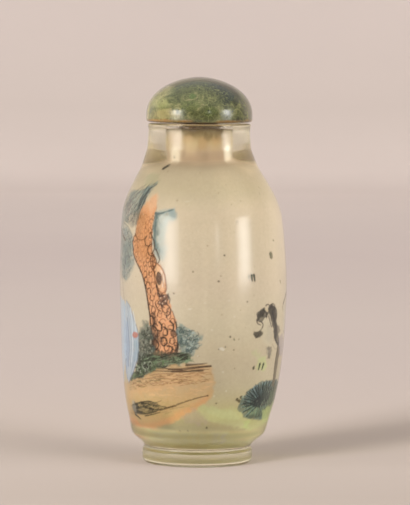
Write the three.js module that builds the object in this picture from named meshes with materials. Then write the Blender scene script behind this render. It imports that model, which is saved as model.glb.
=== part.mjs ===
// Inside-painted glass snuff bottle with a domed stone stopper.
// Millimetres, +Z up. The origin is the centre of the foot's plane of rest.
//
// The vessel is one closed turned shell: foot, swelling body, rounded shoulders
// and a short thick neck around a narrow bore. After turning, each level is
// pressed to a slight oval (deeper than it is wide) and leans a little to one
// side, as a hand-ground bottle does. The stopper and its cork rest in the mouth.

import * as THREE from 'three';

// ---------------------------------------------------------------- sizes (mm)
const HEIGHT_BOTTLE = 63.3;      // foot to lip
const NECK_RADIUS = 9.7;         // at the neck's base
const NECK_TOP_RADIUS = 9.45;    // just under the lip
const LIP_RADIUS = 9.6;
const NECK_BASE_Z = 58.6;        // where the neck turns into the shoulder
const LIP_ROUND = 0.35;
const BORE_RADIUS = 4.1;
const BORE_BASE_Z = 55.6;        // where the bore starts to flare
const BODY_RADIUS = 15.6;        // greatest half width
const BODY_WIDEST_Z = 34.0;
const LEAN = 0.95;               // sideways bulge of the body, greatest
const FOOT_RADIUS = 10.25;
const FOOT_HEIGHT = 2.7;
const FOOT_ROUND = 0.9;          // rounding of the foot's lower edge
const FOOT_RING_INNER = 7.6;     // inner edge of the ring that meets the table
const FOOT_RECESS = 0.45;        // how far the foot's middle is ground hollow
const WAIST_RADIUS = 9.95;       // groove between the foot and the body
const WAIST_Z = 3.25;
const CAVITY_FLOOR_Z = 6.0;
const CAVITY_RADIUS = 13.2;
const STOPPER_RADIUS = 9.9;
const STOPPER_HEIGHT = 8.4;
const STOPPER_SIDE = 1.25;       // height of its upright side
const STOPPER_SIDE_POWER = 2.2;  // how upright the dome above it starts
const STOPPER_TOP_POWER = 1.8;   // how round its top closes
const STOPPER_EDGE = 0.5;
const SEAT_GAP = 0.3;            // clearance where pieces rest on each other
const CORK_TOP_RADIUS = 3.8;
const CORK_END_RADIUS = 3.55;
const CORK_LENGTH = 4.4;
const AROUND = 52;               // facets around the vessel
const AROUND_SMALL = 36;

// ------------------------------------------------------------------- helpers
// Monotone cubic through a few [position, value] stations.
function smoothStations(stations) {
  const n = stations.length;
  const x = stations.map((s) => s[0]);
  const y = stations.map((s) => s[1]);
  const slope = [];
  for (let i = 0; i < n - 1; i++) slope.push((y[i + 1] - y[i]) / (x[i + 1] - x[i]));
  const m = [slope[0]];
  for (let i = 1; i < n - 1; i++) {
    m.push(slope[i - 1] * slope[i] <= 0 ? 0 : 2 * slope[i - 1] * slope[i] / (slope[i - 1] + slope[i]));
  }
  m.push(slope[n - 2]);
  return (t) => {
    let i = 0;
    while (i < n - 2 && t > x[i + 1]) i++;
    const h = x[i + 1] - x[i];
    const u = Math.min(1, Math.max(0, (t - x[i]) / h));
    const u2 = u * u, u3 = u2 * u;
    return (2 * u3 - 3 * u2 + 1) * y[i] + (u3 - 2 * u2 + u) * h * m[i]
      + (3 * u2 - 2 * u3) * y[i + 1] + (u3 - u2) * h * m[i + 1];
  };
}

const arc = (cx, cz, r, from, to, steps) => {
  const points = [];
  for (let i = 0; i <= steps; i++) {
    const a = THREE.MathUtils.degToRad(from + (to - from) * i / steps);
    points.push([cx + r * Math.cos(a), cz + r * Math.sin(a)]);
  }
  return points;
};

const lathe = (profile, segments) =>
  new THREE.LatheGeometry(profile.map(([r, z]) => new THREE.Vector2(Math.max(r, 0), z)), segments)
    .rotateX(Math.PI / 2);       // turned about Y, then stood up on +Z

// ------------------------------------------------------------ the glass body
const outerRadius = smoothStations([
  [WAIST_Z, WAIST_RADIUS], [3.9, 10.45], [4.5, 11.15], [5.7, 12.4], [8.4, 13.12], [12.5, 14.08],
  [19.0, 14.95], [26.5, 15.38], [BODY_WIDEST_Z, BODY_RADIUS], [41.4, 15.3],
  [46.2, 14.9], [48.9, 14.2], [52.6, 12.4], [55.4, 10.85], [NECK_BASE_Z, NECK_RADIUS],
]);

const innerRadius = smoothStations([
  [7.3, 8.3], [8.5, 9.8], [10.2, 10.8], [12.5, 11.6], [15.5, 12.2], [20.0, 12.75],
  [27.0, 13.1], [BODY_WIDEST_Z, CAVITY_RADIUS], [41.0, 12.95], [46.5, 12.5],
  [49.4, 11.5], [51.4, 10.2], [52.9, 8.5], [54.0, 6.6], [54.9, 4.9], [BORE_BASE_Z, BORE_RADIUS],
]);

// Depth over width of the section: round at the neck, oval low in the body, so
// that seen from the side the body is rounder and fuller at the bottom.
const depthRatio = smoothStations([
  [0, 1.04], [6, 1.06], [12, 1.10], [20, 1.115], [26, 1.115], [31, 1.10],
  [36, 1.08], [42, 1.05], [46, 1.025], [50, 1.01], [58, 1.0], [80, 1.0],
]);

// Sideways shift of the section at height z.
const lean = (z) => {
  const t = (z - FOOT_HEIGHT) / (58 - FOOT_HEIGHT);
  return t <= 0 || t >= 1 ? 0 : LEAN * Math.sin(Math.PI * t);
};

function makeBottle() {
  const profile = [];
  // under the foot, from the axis out to the ring of contact
  profile.push([0, FOOT_RECESS], [FOOT_RING_INNER - 2.2, FOOT_RECESS - 0.08],
    [FOOT_RING_INNER, 0], [FOOT_RADIUS - FOOT_ROUND, 0]);
  // rounded edge and side of the foot
  profile.push(...arc(FOOT_RADIUS - FOOT_ROUND, FOOT_ROUND, FOOT_ROUND, -90, 0, 4).slice(1));
  profile.push([FOOT_RADIUS, FOOT_HEIGHT - 0.25], [FOOT_RADIUS - 0.22, FOOT_HEIGHT]);
  // waist, body, shoulders
  const bodySteps = 29;
  for (let i = 0; i <= bodySteps; i++) {
    const t = i / bodySteps;
    // closer rings where the wall bends most, at the two ends
    const z = WAIST_Z + (NECK_BASE_Z - WAIST_Z) * (t - 0.09 * Math.sin(2 * Math.PI * t));
    profile.push([outerRadius(z), z]);
  }
  // neck and lip
  profile.push([NECK_TOP_RADIUS + 0.08, NECK_BASE_Z + 1.6], [NECK_TOP_RADIUS, HEIGHT_BOTTLE - 1.3]);
  profile.push(...arc(LIP_RADIUS - LIP_ROUND, HEIGHT_BOTTLE - LIP_ROUND, LIP_ROUND, 0, 90, 3));
  profile.push(...arc(BORE_RADIUS + LIP_ROUND, HEIGHT_BOTTLE - LIP_ROUND, LIP_ROUND, 90, 180, 3));
  // bore and cavity, down to the axis
  const cavitySteps = 25;
  for (let i = 0; i <= cavitySteps; i++) {
    const t = i / cavitySteps;
    const z = BORE_BASE_Z - (BORE_BASE_Z - 7.3) * (t - 0.08 * Math.sin(2 * Math.PI * t));
    profile.push([innerRadius(z), z]);
  }
  profile.push([6.3, 6.55], [3.4, 6.12], [0, CAVITY_FLOOR_Z]);

  const geometry = lathe(profile, AROUND);
  const p = geometry.attributes.position;
  for (let i = 0; i < p.count; i++) {
    const z = p.getZ(i);
    p.setXYZ(i, p.getX(i) + lean(z), p.getY(i) * depthRatio(z), z);
  }
  geometry.computeVertexNormals();
  return geometry;
}

// -------------------------------------------------------- stopper and cork
function makeStopper() {
  const profile = [[0, 0], [STOPPER_RADIUS - STOPPER_EDGE, 0]];
  profile.push(...arc(STOPPER_RADIUS - STOPPER_EDGE, STOPPER_EDGE, STOPPER_EDGE, -90, -8, 4).slice(1));
  const domeBase = STOPPER_SIDE;
  const domeHeight = STOPPER_HEIGHT - domeBase;
  const steps = 16;
  for (let i = 0; i <= steps; i++) {
    const a = (Math.PI / 2) * i / steps;
    const r = STOPPER_RADIUS * Math.pow(Math.cos(a), 2 / STOPPER_TOP_POWER);
    const z = domeBase + domeHeight * Math.pow(Math.sin(a), 2 / STOPPER_SIDE_POWER);
    profile.push([i === steps ? 0 : r, z]);
  }
  return lathe(profile, AROUND_SMALL);
}

function makeCork() {
  const profile = [[0, 0], [CORK_END_RADIUS - 0.3, 0], [CORK_END_RADIUS, 0.3],
    [CORK_TOP_RADIUS, CORK_LENGTH], [0, CORK_LENGTH]];
  return lathe(profile, AROUND_SMALL);
}

// ------------------------------------------------------------------ assembly
const material = (color, roughness, metalness, extra = {}) =>
  new THREE.MeshStandardMaterial({ color, roughness, metalness, ...extra });

const bottle = new THREE.Mesh(makeBottle(),
  material(0xd3c8a4, 0.12, 0, { transparent: true, opacity: 0.6 }));
bottle.name = 'bottle';

const stopper = new THREE.Mesh(makeStopper(), material(0x6f7548, 0.3, 0));
stopper.name = 'stopper';
stopper.position.z = HEIGHT_BOTTLE + SEAT_GAP;

const cork = new THREE.Mesh(makeCork(), material(0x8c6b45, 0.85, 0));
cork.name = 'cork';
cork.position.z = HEIGHT_BOTTLE - CORK_LENGTH;

const snuffBottle = new THREE.Group();
snuffBottle.name = 'snuff_bottle';
snuffBottle.add(bottle, stopper, cork);

// The body leans to one side of the foot: the origin is the middle of the whole.
snuffBottle.updateMatrixWorld(true);
const whole = new THREE.Box3().setFromObject(snuffBottle);
snuffBottle.position.set(-(whole.min.x + whole.max.x) / 2, -(whole.min.y + whole.max.y) / 2, -whole.min.z);
snuffBottle.updateMatrixWorld(true);

export default snuffBottle;
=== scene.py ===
# Inside-painted glass snuff bottle: the looks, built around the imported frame.
import math

import bpy
import numpy as np
from mathutils import Vector, Matrix, Quaternion


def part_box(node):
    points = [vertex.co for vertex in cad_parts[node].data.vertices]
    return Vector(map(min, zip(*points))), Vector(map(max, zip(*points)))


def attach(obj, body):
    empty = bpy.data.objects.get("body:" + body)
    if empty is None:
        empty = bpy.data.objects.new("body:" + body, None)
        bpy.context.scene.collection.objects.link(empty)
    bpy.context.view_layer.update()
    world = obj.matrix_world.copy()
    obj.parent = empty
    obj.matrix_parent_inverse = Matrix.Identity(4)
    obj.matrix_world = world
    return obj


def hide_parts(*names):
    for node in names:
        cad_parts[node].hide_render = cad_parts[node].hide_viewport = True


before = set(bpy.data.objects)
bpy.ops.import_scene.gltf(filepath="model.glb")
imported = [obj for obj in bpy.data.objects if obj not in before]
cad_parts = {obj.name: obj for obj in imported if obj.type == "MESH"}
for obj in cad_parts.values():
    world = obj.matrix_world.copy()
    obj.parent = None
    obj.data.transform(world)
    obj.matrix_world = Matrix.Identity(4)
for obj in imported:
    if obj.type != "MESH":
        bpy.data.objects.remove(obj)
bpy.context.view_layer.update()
rng = np.random.default_rng(7)
MM = 0.001

# ------------------------------------------------------------------ sizes (mm)
lo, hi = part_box("cork")
AXIS_X = (lo.x + hi.x) / 2 / MM            # the neck's and foot's axis
BOTTLE_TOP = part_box("bottle")[1].z / MM
DOME_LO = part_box("stopper")[0].z / MM
DOME_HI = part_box("stopper")[1].z / MM
CORK_LO, CORK_HI = lo.z / MM, hi.z / MM

NECK_R, NECK_Z, LIP_ROUND = 9.7, 58.6, 0.35
NECK_TOP_R, LIP_R = 9.45, 9.6
BORE_R, BORE_Z = 4.1, 55.6
FOOT_R, FOOT_H, FOOT_ROUND = 10.25, 2.7, 0.9
FOOT_RING, FOOT_RECESS = 7.6, 0.45
WAIST_R, WAIST_Z = 9.95, 3.25
LEAN = 0.95
DOME_R, DOME_SIDE, DOME_TOP, DOME_EDGE, DOME_UPRIGHT = 9.9, 2.2, 1.8, 0.5, 1.25


def stations(pairs):
    """A monotone cubic through a few (position, value) stations."""
    x = np.array([p[0] for p in pairs], float)
    y = np.array([p[1] for p in pairs], float)
    d = np.diff(y) / np.diff(x)
    m = np.empty_like(x)
    m[0], m[-1] = d[0], d[-1]
    for i in range(1, len(x) - 1):
        m[i] = 0 if d[i - 1] * d[i] <= 0 else 2 * d[i - 1] * d[i] / (d[i - 1] + d[i])

    def at(t):
        t = np.clip(np.asarray(t, float), x[0], x[-1])
        i = np.clip(np.searchsorted(x, t, side="right") - 1, 0, len(x) - 2)
        h = x[i + 1] - x[i]
        u = (t - x[i]) / h
        return ((2 * u**3 - 3 * u**2 + 1) * y[i] + (u**3 - 2 * u**2 + u) * h * m[i]
                + (3 * u**2 - 2 * u**3) * y[i + 1] + (u**3 - u**2) * h * m[i + 1])

    return at


outer_r = stations([
    (WAIST_Z, WAIST_R), (3.9, 10.45), (4.5, 11.15), (5.7, 12.4), (8.4, 13.12), (12.5, 14.08),
    (19.0, 14.95), (26.5, 15.38), (34.0, 15.6), (41.4, 15.3),
    (46.2, 14.9), (48.9, 14.2), (52.6, 12.4), (55.4, 10.85), (NECK_Z, NECK_R),
])
inner_r = stations([
    (6.0, 0.0), (6.12, 3.4), (6.55, 6.3), (7.3, 8.3), (8.5, 9.8), (10.2, 10.8), (12.5, 11.6),
    (15.5, 12.2), (20.0, 12.75), (27.0, 13.1), (34.0, 13.2), (41.0, 12.95), (46.5, 12.5),
    (49.4, 11.5), (51.4, 10.2), (52.9, 8.5), (54.0, 6.6), (54.9, 4.9), (BORE_Z, BORE_R),
])


def smoothstep(t, a, b):
    u = np.clip((np.asarray(t, float) - a) / (b - a), 0, 1)
    return u * u * (3 - 2 * u)


depth_ratio = stations([
    (0, 1.04), (6, 1.06), (12, 1.10), (20, 1.115), (26, 1.115), (31, 1.10),
    (36, 1.08), (42, 1.05), (46, 1.025), (50, 1.01), (58, 1.0), (80, 1.0),
])


def centre_x(z):
    t = (np.asarray(z, float) - FOOT_H) / (58 - FOOT_H)
    return AXIS_X + np.where((t <= 0) | (t >= 1), 0.0, LEAN * np.sin(np.pi * np.clip(t, 0, 1)))


# ------------------------------------------------------------------- helpers
def srgb(r, g, b):
    """Linear colour from 0-255 display values."""
    c = np.array([r, g, b], float) / 255
    return np.where(c <= 0.04045, c / 12.92, ((c + 0.055) / 1.055) ** 2.4)


def new_object(name, verts, faces, smooth=True):
    me = bpy.data.meshes.new(name)
    me.from_pydata([tuple(v) for v in verts], [], [tuple(f) for f in faces])
    me.update()
    if smooth:
        me.polygons.foreach_set("use_smooth", [True] * len(me.polygons))
    ob = bpy.data.objects.new(name, me)
    bpy.context.scene.collection.objects.link(ob)
    return ob


def revolve(name, profile, segments, shape=None, caps=True):
    """A turned surface from (r, z) rows in mm. Rows of radius 0 at the ends become poles."""
    rows = [list(p) for p in profile]
    verts, faces, ring = [], [], []
    a = np.arange(segments) * 2 * np.pi / segments
    for r, z in rows:
        if r < 1e-6:
            ring.append([len(verts)])
            verts.append((0.0, 0.0, z))
        else:
            ring.append(list(range(len(verts), len(verts) + segments)))
            verts.extend(zip(r * np.sin(a), -r * np.cos(a), np.full(segments, z)))
    for i in range(len(rows) - 1):
        p, q = ring[i], ring[i + 1]
        for j in range(segments):
            k = (j + 1) % segments
            if len(p) == 1 and len(q) == 1:
                continue
            if len(p) == 1:
                faces.append((p[0], q[k], q[j]))
            elif len(q) == 1:
                faces.append((p[j], p[k], q[0]))
            else:
                faces.append((p[j], p[k], q[k], q[j]))
    v = np.array(verts, float)
    if shape is not None:
        v = shape(v)
    else:
        v[:, 0] += AXIS_X
    return new_object(name, v * MM, faces)


def oval(v):
    z = v[:, 2]
    v = v.copy()
    v[:, 1] *= depth_ratio(z)
    v[:, 0] += centre_x(z)
    return v


def arc(cx, cz, r, a0, a1, n):
    t = np.radians(np.linspace(a0, a1, n + 1))
    return [(cx + r * math.cos(x), cz + r * math.sin(x)) for x in t]


def material(name):
    m = bpy.data.materials.new(name)
    m.use_nodes = True
    nt = m.node_tree
    for n in list(nt.nodes):
        nt.nodes.remove(n)
    out = nt.nodes.new("ShaderNodeOutputMaterial")
    return m, nt, out


# -------------------------------------------------------------------- glass
def glass_profile():
    rows = [(0, FOOT_RECESS)]
    for t in np.linspace(0.1, 1, 10):
        rows.append(((FOOT_RING - 0.6) * t, FOOT_RECESS - 0.06 * t * t))
    for t in np.linspace(0.2, 1, 5):
        rows.append((FOOT_RING - 0.6 + 0.6 * t, (FOOT_RECESS - 0.06) * (1 - t * t * (3 - 2 * t))))
    rows.append((FOOT_RING + 0.4, 0.0))
    rows.append((FOOT_R - FOOT_ROUND - 0.2, 0.0))
    rows += arc(FOOT_R - FOOT_ROUND, FOOT_ROUND, FOOT_ROUND, -90, 0, 10)
    rows += [(FOOT_R + 0.01, 1.2), (FOOT_R + 0.01, 2.0), (FOOT_R, FOOT_H - 0.4)]
    rows += arc(FOOT_R - 0.22, FOOT_H - 0.22, 0.22, 15, 90, 5)
    rows += [(FOOT_R - 0.3, FOOT_H + 0.02), (WAIST_R + 0.03, FOOT_H + 0.2), (WAIST_R - 0.02, FOOT_H + 0.35)]
    n = 120
    for i in range(n + 1):
        t = i / n
        z = WAIST_Z + (NECK_Z - WAIST_Z) * (t - 0.09 * math.sin(2 * math.pi * t))
        rows.append((float(outer_r(z)), z))
    top = BOTTLE_TOP
    neck = stations([(NECK_Z, NECK_R), (NECK_Z + 1.6, NECK_TOP_R + 0.08), (top - 1.3, NECK_TOP_R), (top - LIP_ROUND, LIP_R)])
    for z in np.linspace(NECK_Z, top - LIP_ROUND, 15)[1:-1]:
        rows.append((float(neck(z)), z))
    rows += arc(LIP_R - LIP_ROUND, top - LIP_ROUND, LIP_ROUND, 0, 90, 6)
    for r in np.linspace(LIP_R - LIP_ROUND, BORE_R + LIP_ROUND, 6)[1:-1]:
        rows.append((r, top))
    rows += arc(BORE_R + LIP_ROUND, top - LIP_ROUND, LIP_ROUND, 90, 180, 6)
    for z in np.linspace(top - LIP_ROUND, BORE_Z, 10)[1:-1]:
        rows.append((BORE_R, z))
    n = 90
    for i in range(n + 1):
        t = i / n
        z = BORE_Z - (BORE_Z - 6.0) * (t - 0.1 * math.sin(2 * math.pi * t))
        rows.append((float(inner_r(z)), z))
    rows[-1] = (0, 6.0)
    return rows


glass = revolve("glass_body", glass_profile(), 192, oval)
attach(glass, "root")
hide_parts("bottle")

m, nt, out = material("clear_glass")
b = nt.nodes.new("ShaderNodeBsdfPrincipled")
b.inputs["Base Color"].default_value = (1, 1, 1, 1)
b.inputs["Roughness"].default_value = 0.0
b.inputs["IOR"].default_value = 1.5
b.inputs["Transmission Weight"].default_value = 1.0
where = nt.nodes.new("ShaderNodeTexCoord")
height = nt.nodes.new("ShaderNodeSeparateXYZ")
nt.links.new(where.outputs["Object"], height.inputs[0])
soft = nt.nodes.new("ShaderNodeMapRange")
soft.interpolation_type = "SMOOTHSTEP"
for k, v in (("From Min", 0.0029), ("From Max", 0.0042), ("To Min", 1.0), ("To Max", 0.0)):
    soft.inputs[k].default_value = v
nt.links.new(height.outputs["Z"], soft.inputs["Value"])
neck_soft = nt.nodes.new("ShaderNodeMapRange")
neck_soft.interpolation_type = "SMOOTHSTEP"
for k, v in (("From Min", 0.0545), ("From Max", 0.0580), ("To Min", 0.0), ("To Max", 0.35)):
    neck_soft.inputs[k].default_value = v
nt.links.new(height.outputs["Z"], neck_soft.inputs["Value"])
softness = nt.nodes.new("ShaderNodeMath")
softness.operation = "ADD"
nt.links.new(soft.outputs["Result"], softness.inputs[0])
nt.links.new(neck_soft.outputs["Result"], softness.inputs[1])
rough = nt.nodes.new("ShaderNodeMath")
rough.operation = "MULTIPLY_ADD"
rough.inputs[1].default_value = 0.10
rough.inputs[2].default_value = 0.17
nt.links.new(softness.outputs[0], rough.inputs[0])
nt.links.new(rough.outputs[0], b.inputs["Roughness"])
# lamps reach the wall behind the glass through a plain tint
path = nt.nodes.new("ShaderNodeLightPath")
tint = nt.nodes.new("ShaderNodeBsdfTransparent")
shade = nt.nodes.new("ShaderNodeMix")
shade.data_type = "RGBA"
shade.inputs[6].default_value = (0.93, 0.94, 0.90, 1)
shade.inputs[7].default_value = (0.48, 0.47, 0.44, 1)
nt.links.new(soft.outputs["Result"], shade.inputs[0])
nt.links.new(shade.outputs[2], tint.inputs["Color"])
mix = nt.nodes.new("ShaderNodeMixShader")
nt.links.new(path.outputs["Is Shadow Ray"], mix.inputs["Fac"])
nt.links.new(b.outputs["BSDF"], mix.inputs[1])
nt.links.new(tint.outputs["BSDF"], mix.inputs[2])
nt.links.new(mix.outputs["Shader"], out.inputs["Surface"])
v = nt.nodes.new("ShaderNodeVolumeAbsorption")
v.inputs["Color"].default_value = (0.985, 0.975, 0.80, 1)
v.inputs["Density"].default_value = 60.0
nt.links.new(v.outputs["Volume"], out.inputs["Volume"])
glass.data.materials.append(m)

# --------------------------------------------------------------- inner skin
# The painted film on the hollow's wall, embedded a hair in the glass. Colour is
# worked out for every point of a fine net laid on the wall, by drawing washes and
# strokes in wall coordinates: u, mm round the wall from the plain front line
# (13.2 mm to the radian, + to the right), and v, mm of height.
SKIN = 0.04
WALL = 13.2
HALF_TURN = math.pi * WALL


def skin_rows():
    z = np.concatenate([np.linspace(6.0, BORE_Z, 4000), np.linspace(BORE_Z, BOTTLE_TOP - 0.45, 400)[1:]])
    r = np.where(z < BORE_Z, inner_r(z), BORE_R)
    s = np.concatenate([[0], np.cumsum(np.hypot(np.diff(r), np.diff(z)))])
    up = np.interp(6.3, r[:400], s[:400])
    top = np.interp(BORE_Z, z, s)
    t = np.concatenate([np.linspace(0, up, 14)[:-1], np.linspace(up, top, 440)[:-1], np.linspace(top, s[-1], 34)])
    r, zz = np.interp(t, s, r), np.interp(t, s, z)
    dr, dz = np.gradient(r, t), np.gradient(zz, t)
    n = np.hypot(dr, dz)
    r = r + SKIN * dz / n
    zz = zz - SKIN * dr / n
    r[0] = 0.0
    return r, zz


ROW_R, ROW_Z = skin_rows()
EDGES = [-180.0, -96.0, -3.0, 22.0, 97.0, 180.0]        # the net's columns: fine where the pictures are
COUNTS = [84, 186, 34, 150, 84]
COL_A = np.concatenate([np.linspace(EDGES[i], EDGES[i + 1], COUNTS[i] + 1)[:-1] for i in range(5)] + [[180.0]])
U, V = np.radians(COL_A) * WALL, ROW_Z
paint = np.zeros((len(V), len(U), 3))


def soft_noise(u, v, size, seed):
    """Smooth value noise from -1 to 1 over lattice cells of `size` mm; u runs round the wall."""
    n = max(4, int(round(2 * HALF_TURN / size)))
    grid = np.random.default_rng(seed).uniform(-1, 1, (int(80 / size) + 6, n))
    x = (np.asarray(u) + HALF_TURN) / (2 * HALF_TURN) * n
    y = np.clip(np.asarray(v) / size, 0, grid.shape[0] - 3)
    i, j = np.floor(x).astype(int), np.floor(y).astype(int)
    fx, fy = x - i, y - j
    fx, fy = fx * fx * (3 - 2 * fx), fy * fy * (3 - 2 * fy)
    a, b2 = grid[j, i % n], grid[j, (i + 1) % n]
    c, d = grid[j + 1, i % n], grid[j + 1, (i + 1) % n]
    return (a * (1 - fx) + b2 * fx) * (1 - fy) + (c * (1 - fx) + d * fx) * fy


def window(u0, u1, v0, v1):
    j0, j1 = np.searchsorted(U, u0), np.searchsorted(U, u1)
    i0, i1 = np.searchsorted(V, v0), np.searchsorted(V, v1)
    if j1 <= j0 or i1 <= i0:
        return None
    return slice(i0, i1), slice(j0, j1)


def lay(win, alpha, colour):
    a = np.clip(alpha, 0, 1)[..., None]
    paint[win] = paint[win] * (1 - a) + srgb(*colour) * a


def segment_distance(X, Y, p, q):
    dx, dy = q[0] - p[0], q[1] - p[1]
    t = np.clip(((X - p[0]) * dx + (Y - p[1]) * dy) / max(dx * dx + dy * dy, 1e-9), 0, 1)
    return np.hypot(X - p[0] - t * dx, Y - p[1] - t * dy), t


def both_sides(points):
    """The points, and a copy a whole turn away where they cross the back line."""
    yield points
    u = [p[0] for p in points]
    if max(u) > HALF_TURN:
        yield [(p[0] - 2 * HALF_TURN, p[1]) for p in points]
    if min(u) < -HALF_TURN:
        yield [(p[0] + 2 * HALF_TURN, p[1]) for p in points]


def wash(colour, strength, soft, grain, wobble, points):
    """A soft-edged patch of thin colour inside a closed line."""
    for pts in both_sides(points):
        m = soft + wobble
        us, vs = [p[0] for p in pts], [p[1] for p in pts]
        win = window(min(us) - m, max(us) + m, min(vs) - m, max(vs) + m)
        if win is None:
            continue
        Y, X = np.meshgrid(V[win[0]], U[win[1]], indexing="ij")
        seed = int(abs(pts[0][0] * 131 + pts[0][1] * 17)) % 9973
        X = X + wobble * soft_noise(X, Y, 0.9, seed) + 0.4 * wobble * soft_noise(X, Y, 0.35, seed + 1)
        Y = Y + wobble * soft_noise(X, Y, 0.8, seed + 2)
        inside = np.zeros(X.shape, bool)
        dist = np.full(X.shape, 1e9)
        for k in range(len(pts)):
            p, q = pts[k], pts[(k + 1) % len(pts)]
            d, _ = segment_distance(X, Y, p, q)
            dist = np.minimum(dist, d)
            if p[1] != q[1]:
                cross = (p[1] > Y) != (q[1] > Y)
                inside ^= cross & (X < (q[0] - p[0]) * (Y - p[1]) / (q[1] - p[1]) + p[0])
        signed = np.where(inside, dist, -dist)
        alpha = smoothstep(signed, -soft / 2, soft / 2) * strength
        tex = 0.6 * soft_noise(X, Y, 0.7, seed + 3) + 0.4 * soft_noise(X * 1.0, Y, 0.22, seed + 4)
        lay(win, alpha * (1 - grain * 0.5 * (1 + tex)), colour)


def stroke(colour, strength, width, points, soft=0.06):
    """A brush line; its width in mm runs from width[0] to width[1]."""
    for pts in both_sides(points):
        if len(pts) > 2:                       # round the corners of the hand
            p = np.array(pts, float)
            t = np.arange(len(p))
            tt = np.linspace(0, len(p) - 1, (len(p) - 1) * 4 + 1)
            k = np.clip(tt.astype(int), 0, len(p) - 2)
            f = (tt - k)[:, None]
            a = p[np.maximum(k - 1, 0)]
            b2, c, d = p[k], p[k + 1], p[np.minimum(k + 2, len(p) - 1)]
            pts = 0.5 * (2 * b2 + (c - a) * f + (2 * a - 5 * b2 + 4 * c - d) * f**2 + (3 * b2 - a - 3 * c + d) * f**3)
        n = len(pts) - 1
        width = (width[0] * 1.35, width[1] * 1.35)
        m = max(width) / 2 + soft + 0.05
        us, vs = [p[0] for p in pts], [p[1] for p in pts]
        win = window(min(us) - m, max(us) + m, min(vs) - m, max(vs) + m)
        if win is None:
            continue
        Y, X = np.meshgrid(V[win[0]], U[win[1]], indexing="ij")
        best = np.zeros(X.shape)
        for k in range(n):
            d, t = segment_distance(X, Y, pts[k], pts[k + 1])
            w = width[0] + (width[1] - width[0]) * (k + t) / n
            best = np.maximum(best, np.clip((w / 2 + soft - d) / (2 * soft), 0, 1))
        lay(win, best * strength, colour)


def dot(colour, strength, radius, at):
    stroke(colour, strength, (2 * radius, 1.4 * radius), [at, (at[0] + radius * 0.4, at[1] - radius * 0.5)], 0.07)


def edge_at(points, v):
    p = sorted(points, key=lambda q: q[1])
    return float(np.interp(v, [q[1] for q in p], [q[0] for q in p]))


def bark(left, right, seed=5, colour=(78, 46, 28), scale=1.12, fade=0.0):
    """Scaly pine bark: rows of open loops across a trunk between two edge lines."""
    r = np.random.default_rng(seed)
    v0, v1 = min(p[1] for p in left), max(p[1] for p in left)
    v = v0 + 0.5
    row = 0
    while v < v1 - 1.2:
        a, b2 = edge_at(left, v), edge_at(right, v)
        size = scale * (0.72 + 0.45 * (v1 - v) / (v1 - v0))
        n = max(1, int((b2 - a) / (size * 1.02)))
        for k in range(n):
            u = a + (b2 - a) * (k + 0.5 + 0.22 * (row % 2) + r.uniform(-0.12, 0.12)) / n
            if u > b2 - 0.15:
                continue
            cv = v + r.uniform(-0.22, 0.22)
            rx, ry = size * r.uniform(0.32, 0.46), size * r.uniform(0.42, 0.60)
            start, sweep = r.uniform(0, 6.28), r.uniform(4.4, 6.1)
            pts = [(u + rx * math.cos(start + sweep * q / 8) + 0.06 * r.uniform(-1, 1),
                    cv + ry * math.sin(start + sweep * q / 8) + 0.06 * r.uniform(-1, 1)) for q in range(9)]
            h = (v - v0) / (v1 - v0)
            firm = 1 - fade * float(smoothstep(h, 0.45, 1.0))
            edge = abs(2 * (k + 0.5) / n - 1)
            w = (0.7 + 0.6 * edge * r.uniform(0.4, 1.2)) * (1.25 - 0.5 * h)
            stroke(colour, firm * r.uniform(0.65, 0.99), (w * r.uniform(0.09, 0.19), w * r.uniform(0.06, 0.12)), pts, 0.05)
            if r.uniform() < 0.3 * firm:
                stroke((58, 36, 28), 0.85, (0.20, 0.10), [(u - rx, cv - ry * 0.5), (u - rx * 0.7, cv + ry * 0.4)])
        v += size * r.uniform(0.86, 1.0)
        row += 1


def dashes(points, n, colour, strength, length, width, slope, seed):
    """Short, mostly level brush dashes filling a patch."""
    r = np.random.default_rng(seed)
    for u, v in inside_points(points, n, r):
        s, a = length * r.uniform(0.4, 1.0), slope + r.uniform(-0.22, 0.22)
        b2 = r.uniform(-0.18, 0.18)
        stroke(colour, strength * r.uniform(0.45, 1.0), (width * r.uniform(0.5, 1.0), width * r.uniform(0.3, 0.8)),
               [(u - s / 2, v - a * s / 2), (u, v + b2 * s), (u + s / 2, v + a * s / 2)], 0.05)


def inside_points(points, n, r):
    us, vs = [p[0] for p in points], [p[1] for p in points]
    out = []
    while len(out) < n:
        u, v = r.uniform(min(us), max(us)), r.uniform(min(vs), max(vs))
        hit = False
        for k in range(len(points)):
            p, q = points[k], points[(k + 1) % len(points)]
            if (p[1] > v) != (q[1] > v) and u < (q[0] - p[0]) * (v - p[1]) / (q[1] - p[1]) + p[0]:
                hit = not hit
        if hit:
            out.append((u, v))
    return out


def scribble(points, n, colour, strength, seed):
    """Small curly leaf strokes filling a patch."""
    r = np.random.default_rng(seed)
    for u, v in inside_points(points, n, r):
        a, s, c = r.uniform(0, 6.28), r.uniform(0.35, 0.8), r.uniform(-3.0, 3.0)
        pts = [(u + s * (q / 4) * math.cos(a + c * q / 4), v + s * (q / 4) * math.sin(a + c * q / 4)) for q in range(5)]
        stroke(colour, strength * r.uniform(0.6, 1.0), (r.uniform(0.10, 0.19), 0.07), pts, 0.05)


def blades(line, n, colour, strength, seed):
    """Short grass strokes standing along a line."""
    r = np.random.default_rng(seed)
    line = np.array(line, float)
    for _ in range(n):
        t = r.uniform(0, len(line) - 1.001)
        k = int(t)
        u, v = line[k] + (line[k + 1] - line[k]) * (t - k)
        v += r.uniform(-0.5, 0.4)
        h, tilt = r.uniform(0.35, 0.95), r.uniform(-0.45, 0.45)
        stroke(colour, strength * r.uniform(0.6, 1), (0.16, 0.05), [(u, v), (u + h * tilt * 0.5, v + h * 0.6), (u + h * tilt * 1.2, v + h)], 0.05)


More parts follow.
